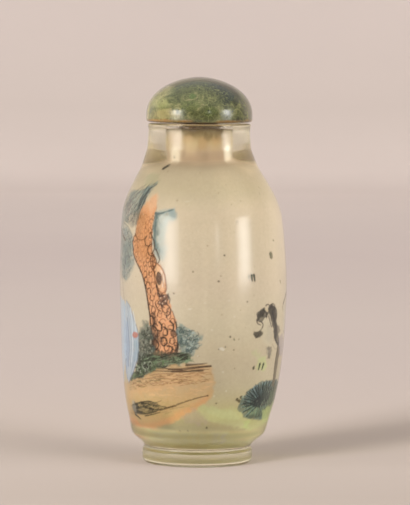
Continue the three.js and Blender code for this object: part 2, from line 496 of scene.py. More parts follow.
def rays(centre, rim, n, colour, strength, seed):
    """Brush strokes fanning from a centre to a rim line."""
    r = np.random.default_rng(seed)
    rim = np.array(rim, float)
    for k in range(n):
        t = (k + r.uniform(0.2, 0.8)) / n * (len(rim) - 1) * 0.999
        i = int(t)
        e = rim[i] + (rim[i + 1] - rim[i]) * (t - i)
        f0, f1 = r.uniform(0.08, 0.34), r.uniform(0.84, 1.03)
        c = np.array(centre)
        bend = np.array([r.uniform(-0.15, 0.15), r.uniform(-0.1, 0.25)])
        stroke(colour, strength * r.uniform(0.65, 1), (r.uniform(0.22, 0.34), 0.14),
               [tuple(c + (e - c) * f0), tuple(c + (e - c) * (f0 + f1) / 2 + bend), tuple(c + (e - c) * f1)], 0.05)


# the film itself: warm and pale, browner in the neck, olive in the thick bottom, and darkest at the bore's top: the
# cork's brown with painted shade under the stopper
BASE = [(6.0, 150, 138, 96), (7.4, 158, 146, 104), (9.1, 169, 156, 117), (11.4, 186, 172, 131), (17.8, 191, 174, 142),
        (22.0, 196, 178, 146), (25.0, 199, 182, 151), (29.4, 204, 186, 156), (34.0, 210, 190, 162),
        (40.0, 213, 193, 164), (46.7, 212, 191, 161), (49.4, 206, 186, 153), (51.4, 199, 179, 145),
        (53.4, 197, 176, 144), (54.4, 190, 168, 137), (55.4, 184, 157, 126), (57.0, 184, 154, 122), (58.4, 194, 162, 124),
        (59.9, 184, 152, 108), (61.2, 150, 124, 84), (62.8, 120, 100, 66)]
for c in range(3):
    tone = stations([(p[0], p[1 + c]) for p in BASE])(V)
    t = tone / 255
    paint[:, :, c] = (((t + 0.055) / 1.055) ** 2.4)[:, None]

# the pictures
wash((150, 160, 120), 0.35, 1.0, 0.3, 0.35,
     [(-14.31, 50.98), (-16.63, 52.45), (-15.76, 53.17), (-12.33, 53.04), (-10.41, 52.06), (-11.54, 51.33)])
wash((116, 134, 128), 0.85, 0.55, 0.55, 0.35,
     [(-10.99, 51.88), (-13.07, 51.51), (-14.21, 50.9), (-16.99, 50.34), (-19.24, 49.28), (-19.49, 47.91), (-19.62, 46.27), (-20.68, 44.69), (-17.53, 44.52), (-16.09, 46.18), (-14.47, 46.91), (-13.7, 47.46), (-12.88, 48.38), (-12.48, 49.3), (-11.79, 50.53), (-10.8, 51.54)])
wash((165, 140, 130), 0.5, 0.5, 0.3, 0.35,
     [(-20.3, 47.84), (-18.89, 48.9), (-16.34, 48.16), (-16.61, 46.46), (-18.46, 46.05)])
wash((92, 108, 104), 0.75, 0.45, 0.5, 0.35,
     [(-12.79, 51.26), (-14.11, 50.47), (-14.56, 48.92), (-14.42, 46.75), (-13.75, 44.73), (-12.61, 45.15), (-12.06, 47.04), (-12.25, 48.9), (-11.86, 50.61)])
stroke((58, 66, 66), 0.75, (0.16, 0.06),
       [(-10.96, 51.71), (-12.47, 50.58), (-13.1, 49.13), (-13.52, 47.42), (-13.87, 45.76), (-14.24, 44.22)])
stroke((58, 66, 66), 0.75, (0.16, 0.06),
       [(-13.43, 50.87), (-13.9, 49.46), (-14.18, 47.77), (-15.01, 46.39)])
stroke((58, 66, 66), 0.75, (0.16, 0.06),
       [(-12.15, 51.3), (-13.27, 50.36), (-13.67, 48.65), (-13.46, 46.8), (-13.44, 44.75)])
stroke((58, 66, 66), 0.75, (0.16, 0.06),
       [(-14.28, 50.64), (-15.25, 49.7), (-16.34, 48.16), (-17.46, 46.25)])
stroke((58, 66, 66), 0.75, (0.16, 0.06),
       [(-12.62, 50.74), (-12.63, 49.54), (-12.71, 48.04), (-12.79, 46.51), (-12.89, 45.14)])
wash((118, 126, 116), 0.75, 0.5, 0.6, 0.35,
     [(-23.63, 45.98), (-22.68, 47.63), (-21.21, 49.01), (-18.87, 50.35), (-16.42, 50.3), (-17.27, 49.04), (-17.77, 47.53), (-18.34, 45.74), (-19.17, 44.06), (-21.87, 43.89)])
wash((96, 104, 96), 0.55, 0.45, 0.6, 0.35,
     [(-19.74, 44.75), (-17.46, 46.25), (-15.32, 47.19), (-13.46, 46.8), (-13.79, 45.09), (-14.98, 43.94), (-17.05, 44.55)])
stroke((60, 66, 62), 0.78, (0.144, 0.06),
       [(-14.47, 51.42), (-16.34, 48.99), (-18.53, 46.19)])
stroke((60, 66, 62), 0.78, (0.12, 0.05),
       [(-15.27, 51.09), (-17.93, 49.23), (-20.97, 46.94)])
stroke((60, 66, 62), 0.78, (0.144, 0.06),
       [(-13.17, 51.59), (-14.77, 49.31), (-16.26, 46.64)])
stroke((60, 66, 62), 0.78, (0.192, 0.08),
       [(-11.66, 51.76), (-13.39, 50.22), (-14.47, 48.28)])
stroke((60, 66, 62), 0.78, (0.216, 0.09),
       [(-12.0, 51.13), (-13.11, 49.68), (-13.54, 47.81)])
stroke((60, 66, 62), 0.78, (0.192, 0.08),
       [(-12.33, 50.41), (-13.48, 48.51), (-14.25, 46.12)])
stroke((60, 66, 62), 0.78, (0.20400000000000001, 0.085),
       [(-12.33, 49.56), (-13.03, 47.58), (-13.48, 45.11)])
stroke((60, 66, 62), 0.78, (0.18, 0.075),
       [(-12.45, 48.72), (-13.22, 46.81), (-13.71, 44.37)])
stroke((60, 66, 62), 0.78, (0.144, 0.06),
       [(-13.4, 48.17), (-14.46, 46.66), (-15.07, 44.66)])
stroke((60, 66, 62), 0.78, (0.144, 0.06),
       [(-14.47, 48.28), (-15.61, 46.84), (-16.25, 44.96)])
stroke((60, 66, 62), 0.78, (0.12, 0.05),
       [(-15.93, 48.18), (-17.2, 46.98), (-17.71, 45.42)])
stroke((60, 66, 62), 0.78, (0.108, 0.045),
       [(-17.53, 48.4), (-19.37, 47.4), (-19.91, 46.11)])
stroke((60, 66, 62), 0.78, (0.12, 0.05),
       [(-15.71, 49.33), (-17.47, 48.48), (-18.02, 47.17)])
stroke((60, 66, 62), 0.78, (0.144, 0.06),
       [(-15.21, 50.05), (-16.85, 49.24), (-17.23, 48.09)])
stroke((60, 66, 62), 0.78, (0.108, 0.045),
       [(-19.15, 49.04), (-21.52, 48.08), (-21.35, 46.76)])
stroke((60, 66, 62), 0.78, (0.108, 0.045),
       [(-19.28, 47.75), (-21.13, 46.7), (-21.05, 45.39)])
stroke((60, 66, 62), 0.78, (0.192, 0.08),
       [(-13.46, 49.32), (-13.96, 48.48), (-13.57, 47.13)])
stroke((60, 66, 62), 0.78, (0.144, 0.06),
       [(-14.47, 46.91), (-15.14, 45.92), (-15.02, 44.3)])
stroke((60, 66, 62), 0.78, (0.12, 0.05),
       [(-15.8, 46.51), (-16.98, 45.98), (-17.12, 44.91)])
stroke((176, 190, 174), 0.5, (0.14, 0.07),
       [(-12.93, 50.72), (-14.03, 49.62), (-14.47, 48.28)])
stroke((176, 190, 174), 0.5, (0.14, 0.07),
       [(-14.64, 50.26), (-15.76, 49.16), (-16.1, 47.82)])
stroke((176, 190, 174), 0.5, (0.14, 0.07),
       [(-11.93, 51.4), (-13.14, 50.75), (-13.5, 49.82)])
stroke((176, 190, 174), 0.5, (0.14, 0.07),
       [(-16.06, 48.81), (-17.41, 47.72), (-18.04, 46.37)])
stroke((176, 190, 174), 0.5, (0.14, 0.07),
       [(-13.86, 47.79), (-14.61, 46.82), (-14.84, 45.58)])
scribble([(-20.49, 46.67), (-18.09, 48.81), (-13.94, 47.96), (-14.1, 45.08), (-18.04, 44.49)], 60, (66, 72, 66), 0.7, 41)
wash((126, 141, 134), 0.8, 0.6, 0.6, 0.35,
     [(-19.99, 44.19), (-16.61, 44.58), (-15.28, 43.38), (-14.6, 41.24), (-14.15, 38.86), (-14.22, 37.39), (-14.96, 35.7), (-16.62, 34.12), (-18.66, 34.7), (-20.03, 37.34), (-21.38, 40.41), (-21.28, 42.84)])
wash((95, 112, 106), 0.6, 0.5, 0.6, 0.35,
     [(-18.6, 40.24), (-16.24, 41.14), (-15.01, 39.54), (-15.22, 37.32), (-16.69, 36.12), (-18.27, 37.47)])
stroke((70, 82, 80), 0.6, (0.1, 0.05),
       [(-18.95, 42.99), (-16.7, 41.66), (-15.37, 39.52), (-15.24, 37.69)])
stroke((70, 82, 80), 0.6, (0.1, 0.05),
       [(-19.33, 40.75), (-16.99, 39.79), (-15.63, 38.03)])
stroke((70, 82, 80), 0.6, (0.1, 0.05),
       [(-19.9, 39.21), (-17.74, 37.51), (-16.67, 35.76)])
stroke((70, 82, 80), 0.6, (0.1, 0.05),
       [(-17.91, 43.78), (-15.92, 42.08), (-14.72, 40.3)])
wash((124, 138, 132), 0.6, 0.5, 0.6, 0.35,
     [(-23.59, 42.05), (-19.84, 43.66), (-17.41, 43.81), (-16.62, 40.56), (-16.72, 36.48), (-18.06, 34.2), (-20.21, 34.75), (-23.11, 38.33)])
scribble([(-21.43, 43.19), (-16.53, 44.04), (-14.7, 41.23), (-14.3, 38.85), (-15.14, 35.87), (-16.63, 34.31), (-18.99, 34.85)], 110, (64, 80, 82), 0.75, 42)
scribble([(-21.43, 43.19), (-16.53, 44.04), (-14.7, 41.23), (-14.3, 38.85), (-15.14, 35.87), (-16.63, 34.31), (-18.99, 34.85)], 36, (150, 166, 158), 0.5, 43)
stroke((214, 196, 160), 0.9, (0.16, 0.12),
       [(-19.04, 44.89), (-16.35, 44.23), (-15.07, 43.03), (-13.85, 42.01)])
stroke((96, 84, 70), 0.8, (0.07, 0.07),
       [(-19.63, 44.67), (-16.75, 44.03), (-15.41, 42.83), (-14.64, 41.78)])
wash((165, 176, 167), 0.75, 0.5, 0.45, 0.35,
     [(-9.15, 47.01), (-8.18, 47.3), (-6.72, 47.61), (-5.15, 47.92), (-4.73, 47.15), (-4.72, 45.98), (-5.27, 45.43), (-6.37, 45.58), (-6.73, 43.94), (-6.91, 42.14), (-6.5, 40.34), (-7.27, 38.67), (-8.08, 38.27), (-8.72, 38.97), (-9.31, 41.14), (-9.63, 44.19)])
wash((118, 129, 121), 0.8, 0.5, 0.5, 0.35,
     [(-9.04, 47.01), (-8.12, 46.88), (-8.34, 45.33), (-8.48, 43.16), (-8.34, 41.0), (-7.89, 39.01), (-8.62, 39.16), (-9.32, 41.32), (-9.56, 44.2)])
wash((142, 160, 157), 0.75, 0.35, 0.4, 0.35,
     [(-6.51, 47.62), (-5.15, 47.9), (-4.76, 47.15), (-4.8, 45.98), (-5.57, 45.69), (-6.01, 46.78)])
stroke((93, 108, 104), 0.85, (0.34, 0.16),
       [(-9.24, 46.83), (-8.11, 46.79), (-6.66, 47.18), (-5.48, 47.56)])
stroke((100, 112, 106), 0.8, (0.4, 0.2),
       [(-8.77, 46.68), (-8.99, 44.95), (-9.05, 42.42), (-8.75, 40.25)])
dashes([(-9.22, 46.67), (-6.88, 47.26), (-5.59, 46.45), (-6.74, 44.3), (-7.31, 42.12), (-7.28, 39.22), (-8.51, 38.98), (-9.24, 42.77)], 34, (96, 122, 118), 0.55, 1.6, 0.13, -0.9, 44)
dashes([(-8.54, 46.69), (-5.67, 47.47), (-5.57, 45.79), (-6.93, 43.57), (-7.09, 39.95), (-8.1, 39.18), (-8.58, 42.79)], 26, (196, 208, 198), 0.5, 1.5, 0.12, 0.8, 45)
wash((226, 152, 98), 0.95, 0.22, 0.25, 0.2,
     [(-10.03, 50.02), (-9.35, 49.04), (-9.19, 47.52), (-9.45, 45.11), (-9.8, 42.39), (-9.59, 40.21), (-8.6, 37.89), (-7.66, 37.39), (-6.84, 35.97), (-6.49, 34.19), (-6.6, 32.74), (-5.98, 31.05), (-5.42, 29.51), (-4.86, 27.72), (-4.53, 25.38), (-4.25, 23.0), (-4.53, 21.61), (-6.64, 21.05), (-9.41, 20.87), (-9.6, 23.81), (-10.03, 26.53), (-10.3, 29.26), (-10.6, 31.63), (-11.12, 33.77), (-11.95, 35.8), (-13.32, 37.54), (-14.46, 39.3), (-14.86, 41.5), (-14.17, 43.08), (-13.63, 45.1), (-13.11, 46.65), (-12.39, 47.97), (-11.13, 48.96)])
wash((228, 176, 128), 0.55, 0.8, 0.3, 0.35,
     [(-12.35, 47.88), (-11.21, 49.12), (-10.38, 50.18), (-9.28, 49.55), (-9.15, 48.04), (-10.54, 47.28)])
wash((150, 118, 84), 0.55, 0.7, 0.5, 0.35,
     [(-14.0, 46.44), (-12.73, 47.34), (-11.48, 46.9), (-11.76, 44.83), (-12.7, 42.61), (-14.04, 42.54), (-14.06, 44.71)])
wash((236, 172, 124), 0.5, 0.5, 0.3, 0.35,
     [(-9.96, 31.12), (-8.25, 27.92), (-7.23, 23.04), (-5.86, 21.82), (-7.85, 21.53), (-9.33, 23.83), (-9.98, 27.81)])
bark([(-12.5, 47.87), (-13.14, 46.49), (-13.71, 44.91), (-14.22, 42.89), (-14.85, 41.41), (-14.39, 39.21), (-13.26, 37.45), (-11.89, 35.71), (-11.07, 33.6), (-10.51, 31.45), (-10.16, 29.27), (-9.76, 26.37), (-9.42, 23.64), (-9.25, 21.07)], [(-9.53, 49.54), (-9.1, 47.35), (-9.41, 44.93), (-9.77, 42.39), (-9.54, 40.21), (-8.71, 38.06), (-8.14, 35.74), (-7.62, 33.06), (-6.74, 31.29), (-5.79, 29.5), (-5.04, 27.35), (-4.63, 25.01), (-4.32, 23.0), (-4.53, 21.52)], fade=0.35)
stroke((66, 42, 28), 0.97, (0.14, 0.28),
       [(-14.87, 41.77), (-14.47, 39.39), (-13.32, 37.63), (-11.95, 35.89), (-11.12, 33.77), (-10.58, 31.63), (-10.2, 29.45)])
stroke((40, 28, 22), 0.95, (0.18, 0.42),
       [(-10.2, 29.45), (-9.94, 27.82), (-9.72, 26.01), (-9.51, 23.81), (-9.35, 21.98), (-9.26, 20.7)])
stroke((38, 28, 22), 0.9, (0.3, 0.5),
       [(-9.24, 24.94), (-9.21, 22.73), (-9.46, 20.68)])
stroke((88, 52, 34), 0.5, (0.06, 0.2),
       [(-9.03, 48.05), (-9.06, 46.84), (-9.47, 45.11), (-9.77, 42.39), (-9.59, 40.21), (-8.92, 38.05)])
stroke((92, 56, 36), 0.95, (0.14, 0.2),
       [(-9.61, 39.3), (-9.22, 36.95), (-8.55, 34.81), (-8.23, 33.03), (-7.83, 31.78)])
stroke((88, 52, 34), 0.8, (0.12, 0.12),
       [(-5.42, 29.33), (-4.87, 27.53), (-4.54, 25.19), (-4.27, 23.0), (-4.53, 21.52)])
stroke((60, 36, 26), 0.9, (0.28, 0.12),
       [(-14.06, 42.9), (-13.4, 42.12), (-12.26, 41.91), (-11.11, 42.33)])
stroke((60, 36, 26), 0.7, (0.16, 0.1),
       [(-13.56, 42.39), (-13.21, 41.32), (-13.44, 40.01)])
wash((236, 190, 150), 0.5, 0.8, 0.3, 0.35,
     [(-11.8, 48.6), (-10.93, 50.15), (-9.51, 50.05), (-8.89, 48.05), (-10.16, 46.63)])
wash((206, 140, 86), 0.5, 0.5, 0.5, 0.35,
     [(-13.31, 46.16), (-11.22, 46.91), (-10.28, 45.26), (-10.61, 41.99), (-10.06, 39.09), (-11.96, 37.89), (-14.05, 39.97), (-14.22, 42.89)])
stroke((70, 44, 28), 0.95, (0.17, 0.13),
       [(-10.06, 43.27), (-9.5, 42.4), (-9.1, 41.52), (-9.19, 40.23), (-9.73, 39.47)])
stroke((70, 44, 28), 0.95, (0.17, 0.13),
       [(-9.62, 39.66), (-8.94, 38.96), (-8.6, 38.07), (-8.9, 36.97), (-9.55, 36.84), (-9.84, 38.01)])
stroke((70, 44, 28), 0.95, (0.17, 0.13),
       [(-9.88, 41.3), (-10.57, 40.53), (-10.42, 39.44), (-9.72, 39.11)])
stroke((70, 44, 28), 0.95, (0.17, 0.13),
       [(-10.88, 42.7), (-11.34, 41.96), (-11.07, 41.06), (-10.34, 40.91)])
stroke((70, 44, 28), 0.95, (0.17, 0.13),
       [(-8.75, 40.43), (-8.31, 39.54), (-7.96, 38.46), (-8.28, 37.9)])
wash((238, 190, 142), 0.7, 0.3, 0.2, 0.15,
     [(-8.48, 37.62), (-7.76, 37.29), (-7.04, 36.33), (-6.72, 34.9), (-6.87, 33.27), (-7.33, 32.8), (-8.15, 33.3), (-8.7, 34.99), (-8.81, 36.79)])
stroke((232, 206, 176), 0.9, (0.26, 0.2),
       [(-7.72, 36.57), (-7.24, 35.78), (-7.11, 34.7), (-7.3, 33.7)])
dot((110, 72, 46), 0.9, 0.09, (-7.13, 36.86))
dot((110, 72, 46), 0.9, 0.09, (-7.05, 36.38))
dot((110, 72, 46), 0.9, 0.09, (-6.98, 35.9))
dot((110, 72, 46), 0.9, 0.09, (-6.91, 35.41))
dot((110, 72, 46), 0.9, 0.09, (-6.84, 34.93))
dot((110, 72, 46), 0.9, 0.09, (-6.77, 34.45))
dot((110, 72, 46), 0.9, 0.09, (-6.8, 33.96))
dot((110, 72, 46), 0.9, 0.09, (-6.82, 33.47))
dot((110, 72, 46), 0.9, 0.09, (-6.85, 32.98))
stroke((120, 72, 44), 0.9, (0.12, 0.12),
       [(-8.92, 37.87), (-8.17, 37.63), (-7.25, 36.68), (-6.74, 35.26), (-6.53, 33.83), (-6.76, 32.73), (-7.63, 32.61), (-8.44, 33.56), (-8.98, 35.33), (-9.11, 36.96), (-8.7, 37.7)])
stroke((168, 108, 70), 0.7, (0.12, 0.12),
       [(-7.14, 36.5), (-7.31, 35.05), (-7.03, 33.63)])
wash((66, 44, 38), 0.95, 0.16, 0.2, 0.12,
     [(-8.05, 36.37), (-7.54, 35.94), (-7.39, 35.05), (-7.62, 34.05), (-8.07, 33.76), (-8.48, 34.37), (-8.57, 35.44), (-8.33, 36.18)])
stroke((48, 32, 28), 0.9, (0.14, 0.14),
       [(-8.59, 33.91), (-8.34, 32.84), (-7.83, 31.96), (-7.13, 31.99)])
wash((70, 46, 38), 0.95, 0.25, 0.5, 0.5,
     [(-8.44, 32.56), (-7.43, 32.34), (-6.55, 32.56), (-6.34, 31.67), (-6.65, 30.56), (-7.14, 29.62), (-7.94, 30.13), (-8.24, 31.21)])
dot((214, 176, 142), 0.9, 0.11, (-7.73, 31.6))
dot((214, 176, 142), 0.9, 0.11, (-6.94, 31.91))
dot((214, 176, 142), 0.9, 0.11, (-7.33, 30.62))
dot((214, 176, 142), 0.9, 0.11, (-7.91, 30.78))
dot((214, 176, 142), 0.9, 0.11, (-6.72, 31.11))
stroke((70, 42, 30), 0.9, (0.17, 0.12),
       [(-7.63, 30.51), (-7.24, 29.25), (-6.55, 28.92), (-6.17, 29.76)])
stroke((70, 42, 30), 0.9, (0.17, 0.12),
       [(-6.65, 30.65), (-5.98, 30.04), (-5.79, 29.13), (-6.36, 28.38), (-6.94, 28.72)])
stroke((70, 42, 30), 0.9, (0.17, 0.12),
       [(-8.76, 30.64), (-8.35, 29.56), (-7.64, 29.23)])
stroke((70, 42, 30), 0.9, (0.17, 0.12),
       [(-6.36, 32.12), (-5.88, 31.5), (-6.07, 30.68)])
wash((84, 54, 36), 0.8, 0.35, 0.6, 0.5,
     [(-10.07, 28.91), (-9.2, 28.59), (-8.77, 26.61), (-8.25, 24.27), (-8.48, 22.23), (-9.36, 21.43), (-9.56, 23.81), (-9.85, 26.36)])
stroke((50, 32, 22), 0.95, (0.24, 0.17),
       [(-9.76, 28.19), (-9.1, 27.87), (-8.88, 26.97), (-9.43, 26.39)])
stroke((50, 32, 22), 0.95, (0.24, 0.17),
       [(-9.43, 26.39), (-8.67, 26.08), (-8.25, 25.19), (-8.57, 24.25), (-9.33, 24.2)])
stroke((50, 32, 22), 0.95, (0.24, 0.17),
       [(-9.22, 24.02), (-8.47, 23.7), (-8.16, 22.8), (-8.7, 22.03), (-9.24, 22.17)])
stroke((50, 32, 22), 0.95, (0.24, 0.17),
       [(-8.04, 27.2), (-7.43, 26.51), (-7.63, 25.59), (-8.35, 25.73)])
stroke((50, 32, 22), 0.95, (0.24, 0.17),
       [(-7.63, 24.3), (-6.74, 24.36), (-6.44, 23.45), (-7.03, 22.87), (-7.64, 23.29)])
stroke((50, 32, 22), 0.95, (0.24, 0.17),
       [(-7.03, 26.35), (-6.35, 25.85), (-6.44, 24.92), (-7.13, 24.89)])
stroke((50, 32, 22), 0.95, (0.24, 0.17),
       [(-5.88, 27.49), (-5.22, 26.8), (-5.31, 25.9), (-5.97, 26.05)])
stroke((50, 32, 22), 0.95, (0.24, 0.17),
       [(-6.34, 22.9), (-5.57, 22.76), (-5.47, 21.84), (-6.24, 21.62)])
stroke((50, 32, 22), 0.95, (0.24, 0.17),
       [(-8.91, 22.2), (-8.16, 21.88), (-8.49, 21.12)])
wash((58, 40, 30), 0.85, 0.3, 0.5, 0.5,
     [(-8.67, 25.16), (-7.73, 25.4), (-7.23, 24.33), (-7.64, 23.02), (-8.58, 22.68), (-9.0, 23.85)])
stroke((44, 30, 24), 0.9, (0.2, 0.36),
       [(-4.76, 27.36), (-4.53, 25.56), (-4.33, 23.73), (-4.63, 22.06)])
wash((52, 36, 28), 0.9, 0.2, 0.3, 0.2,
     [(-5.49, 25.8), (-4.84, 25.91), (-4.69, 25.1), (-5.11, 24.53), (-5.58, 24.96)])
wash((70, 46, 34), 0.6, 0.35, 0.5, 0.5,
     [(-9.2, 28.96), (-8.46, 28.82), (-8.33, 27.19), (-8.88, 26.25), (-9.4, 27.3)])
stroke((60, 40, 30), 0.9, (0.16, 0.1),
       [(-5.01, 23.06), (-4.27, 23.18), (-3.91, 23.47)])
stroke((60, 40, 30), 0.8, (0.12, 0.12),
       [(-5.2, 24.06), (-4.82, 22.61), (-5.0, 21.68)])
wash((80, 90, 78), 0.95, 0.5, 0.6, 0.6,
     [(-12.61, 25.61), (-11.42, 26.8), (-10.14, 27.44), (-9.7, 25.65), (-9.43, 23.45), (-9.28, 20.88), (-9.87, 19.0), (-11.13, 17.99), (-13.08, 17.64), (-13.42, 19.43), (-12.84, 22.07)])
wash((84, 94, 82), 0.7, 0.6, 0.7, 0.6,
     [(-12.63, 24.87), (-11.42, 26.43), (-10.1, 27.08), (-9.65, 25.65), (-9.43, 23.45), (-9.28, 20.88), (-9.87, 19.0), (-11.13, 17.99), (-13.08, 17.64), (-13.55, 19.42), (-12.99, 22.06)])
wash((118, 140, 134), 0.88, 0.5, 0.6, 0.6,
     [(-4.5, 27.1), (-3.85, 27.12), (-2.78, 26.52), (-1.37, 25.74), (-0.31, 24.84), (0.06, 23.93), (-0.44, 22.91), (-1.11, 21.8), (-2.16, 20.86), (-3.97, 21.17), (-4.25, 23.0), (-4.45, 25.2)])
scribble([(-4.3, 26.47), (-2.95, 26.25), (-1.54, 25.56), (-0.3, 24.38), (-0.79, 22.91), (-2.17, 21.59), (-3.98, 21.72)], 60, (172, 188, 176), 0.45, 46)
wash((92, 104, 86), 0.6, 0.6, 0.6, 0.35,
     [(-4.39, 26.65), (-3.48, 25.96), (-3.28, 23.77), (-2.89, 21.94), (-3.79, 21.18), (-4.25, 22.63)])
scribble([(-4.3, 26.47), (-2.95, 26.25), (-1.54, 25.56), (-0.3, 24.38), (-0.79, 22.91), (-2.17, 21.59), (-3.98, 21.72)], 120, (62, 80, 76), 0.75, 11)
scribble([(-12.48, 25.44), (-10.22, 26.89), (-9.43, 23.45), (-9.42, 20.68), (-11.11, 18.36), (-13.05, 18.01), (-12.87, 21.33)], 40, (156, 160, 136), 0.5, 47)
scribble([(-12.49, 24.69), (-10.22, 26.52), (-9.43, 23.45), (-9.42, 20.68), (-11.11, 18.36), (-13.05, 18.01), (-13.16, 21.31)], 150, (38, 42, 32), 0.85, 12)
wash((84, 92, 70), 0.95, 0.35, 0.6, 0.5,
     [(-14.69, 17.68), (-12.93, 19.85), (-10.77, 21.14), (-7.85, 21.62), (-5.09, 21.77), (-2.89, 21.85), (-1.56, 21.88), (-1.8, 20.87), (-2.14, 20.12), (-4.7, 19.3), (-7.89, 18.41), (-10.43, 17.32), (-12.93, 16.38), (-16.27, 15.33)])
wash((92, 104, 78), 0.9, 0.5, 0.7, 0.6,
     [(-14.69, 17.68), (-12.94, 19.48), (-10.78, 20.58), (-7.85, 21.16), (-5.09, 21.68), (-2.53, 21.77), (-1.63, 21.42), (-1.78, 20.13), (-3.4, 19.54), (-5.85, 19.16), (-7.89, 18.23), (-10.44, 17.14), (-12.93, 16.38), (-16.27, 15.33), (-16.87, 15.64)])
wash((42, 42, 32), 0.85, 0.5, 0.7, 0.6,
     [(-13.6, 18.68), (-12.36, 19.9), (-10.3, 20.53), (-8.71, 20.46), (-8.73, 19.26), (-9.9, 18.27), (-11.94, 17.74)])
wash((64, 68, 50), 0.7, 0.5, 0.7, 0.6,
     [(-8.92, 20.9), (-6.24, 21.16), (-3.61, 21.46), (-2.34, 20.95), (-3.23, 20.28), (-6.24, 19.78), (-8.72, 19.44)])
wash((122, 140, 98), 0.7, 0.4, 0.5, 0.4,
     [(-5.08, 20.48), (-3.24, 20.83), (-1.8, 20.68), (-2.14, 20.03), (-3.95, 19.7), (-5.46, 19.82)])
wash((150, 166, 130), 0.75, 0.35, 0.4, 0.3,
     [(-5.08, 20.3), (-3.96, 20.53), (-2.87, 20.66), (-2.15, 20.4), (-3.22, 19.91), (-4.7, 19.76)])
wash((108, 74, 54), 0.6, 0.5, 0.5, 0.4,
     [(-9.59, 21.5), (-6.64, 21.97), (-4.35, 21.98), (-4.71, 21.14), (-7.86, 20.79)])
dashes([(-13.97, 18.11), (-12.35, 20.27), (-10.05, 21.19), (-6.64, 21.6), (-2.17, 21.69), (-2.32, 20.3), (-5.85, 19.43), (-8.98, 18.15), (-12.02, 16.82), (-15.32, 15.98)], 150, (40, 42, 30), 0.85, 1.7, 0.24, 0.22, 48)
dashes([(-13.97, 18.11), (-12.36, 19.9), (-10.06, 20.82), (-6.64, 21.05), (-2.16, 21.23), (-2.32, 20.3), (-5.85, 19.43), (-8.98, 18.15), (-12.02, 16.82), (-15.32, 15.98)], 60, (120, 140, 100), 0.7, 1.3, 0.16, 0.2, 49)
scribble([(-13.79, 18.31), (-12.62, 20.24), (-10.29, 20.8), (-9.63, 19.01), (-11.17, 17.44), (-13.47, 16.88)], 46, (30, 30, 22), 0.9, 50)
scribble([(-13.61, 18.5), (-12.35, 20.08), (-10.3, 20.43), (-9.63, 19.01), (-11.15, 17.81), (-13.43, 17.25)], 22, (186, 190, 160), 0.6, 51)
scribble([(-16.82, 15.83), (-15.13, 17.09), (-12.53, 17.33), (-10.14, 18.07), (-10.69, 17.12), (-13.6, 15.95), (-16.78, 15.1)], 40, (58, 70, 44), 0.85, 52)
dashes([(-16.22, 15.52), (-12.3, 16.8), (-8.76, 18.17), (-5.46, 19.09), (-1.05, 19.6), (1.1, 19.25), (-1.02, 18.5), (-4.69, 18.03), (-8.8, 17.26), (-12.98, 16.01)], 60, (64, 60, 40), 0.75, 1.5, 0.16, 0.15, 53)
blades([(-13.98, 17.93), (-11.05, 19.64), (-8.28, 20.21), (-5.46, 20.37), (-2.51, 20.85)], 22, (44, 50, 34), 0.6, 21)
blades([(-16.18, 15.71), (-12.82, 17.3), (-9.65, 18.47), (-7.04, 19.37)], 26, (92, 112, 70), 0.7, 22)
wash((201, 160, 108), 0.88, 0.55, 0.35, 0.4,
     [(-17.65, 15.56), (-14.91, 16.2), (-12.3, 16.8), (-9.91, 17.9), (-7.46, 18.98), (-4.7, 19.58), (-1.59, 19.77), (0.9, 19.71), (2.1, 19.06), (2.32, 16.88), (2.39, 14.67), (2.04, 13.27), (0.56, 12.35), (-1.16, 11.27), (-3.45, 10.02), (-6.66, 8.66), (-12.37, 7.41), (-20.79, 7.05), (-22.96, 7.55), (-20.56, 9.78), (-18.91, 12.33)])
wash((196, 158, 110), 0.4, 0.8, 0.5, 0.6,
     [(-10.61, 13.06), (-5.95, 13.93), (-2.38, 13.13), (-3.18, 11.31), (-6.85, 9.69), (-11.92, 9.01)])
wash((212, 150, 102), 0.6, 1.1, 0.2, 0.1,
     [(-20.38, 8.16), (-14.53, 8.05), (-10.0, 8.76), (-6.33, 10.0), (-3.38, 11.39), (-0.82, 12.7), (1.03, 13.93), (1.79, 13.93), (1.12, 12.62), (-1.16, 11.18), (-3.46, 9.93), (-6.66, 8.66), (-11.99, 7.43), (-21.24, 7.0), (-24.12, 7.29)])
wash((213, 164, 112), 0.5, 0.9, 0.3, 0.6,
     [(-16.78, 15.1), (-10.22, 16.79), (-5.46, 18.18), (-1.03, 18.87), (1.14, 18.34), (-0.24, 16.88), (-4.71, 15.65), (-10.46, 14.19), (-17.03, 12.86)])
stroke((74, 50, 34), 0.92, (0.08, 0.2),
       [(-6.24, 18.59), (-3.57, 18.62), (-1.04, 19.05), (1.63, 19.39)])
stroke((74, 50, 34), 0.92, (0.26, 0.05),
       [(-5.46, 18.27), (-2.83, 18.37), (-0.31, 18.73), (1.3, 18.85)])
stroke((74, 50, 34), 0.92, (0.22, 0.04),
       [(-2.85, 19.52), (-1.05, 19.63), (0.54, 19.8)])
stroke((74, 50, 34), 0.92, (0.06, 0.22),
       [(-7.87, 18.95), (-5.85, 18.67), (-3.57, 18.62)])
stroke((128, 92, 60), 0.75, (0.09, 0.05),
       [(-12.35, 16.34), (-9.04, 16.97), (-6.67, 17.15)])
stroke((128, 92, 60), 0.75, (0.09, 0.05),
       [(-8.61, 16.54), (-6.7, 16.29), (-5.09, 16.46)])
stroke((128, 92, 60), 0.75, (0.09, 0.05),
       [(-5.89, 16.15), (-4.31, 16.31), (-2.8, 16.64), (-2.62, 17.01)])
stroke((128, 92, 60), 0.75, (0.09, 0.05),
       [(-2.81, 17.37), (-1.17, 17.59), (0.46, 17.43)])
stroke((128, 92, 60), 0.75, (0.09, 0.05),
       [(-2.09, 18.12), (-0.27, 17.79), (1.41, 16.7)])
stroke((128, 92, 60), 0.75, (0.09, 0.05),
       [(-7.09, 16.91), (-5.48, 16.9), (-4.31, 17.23)])
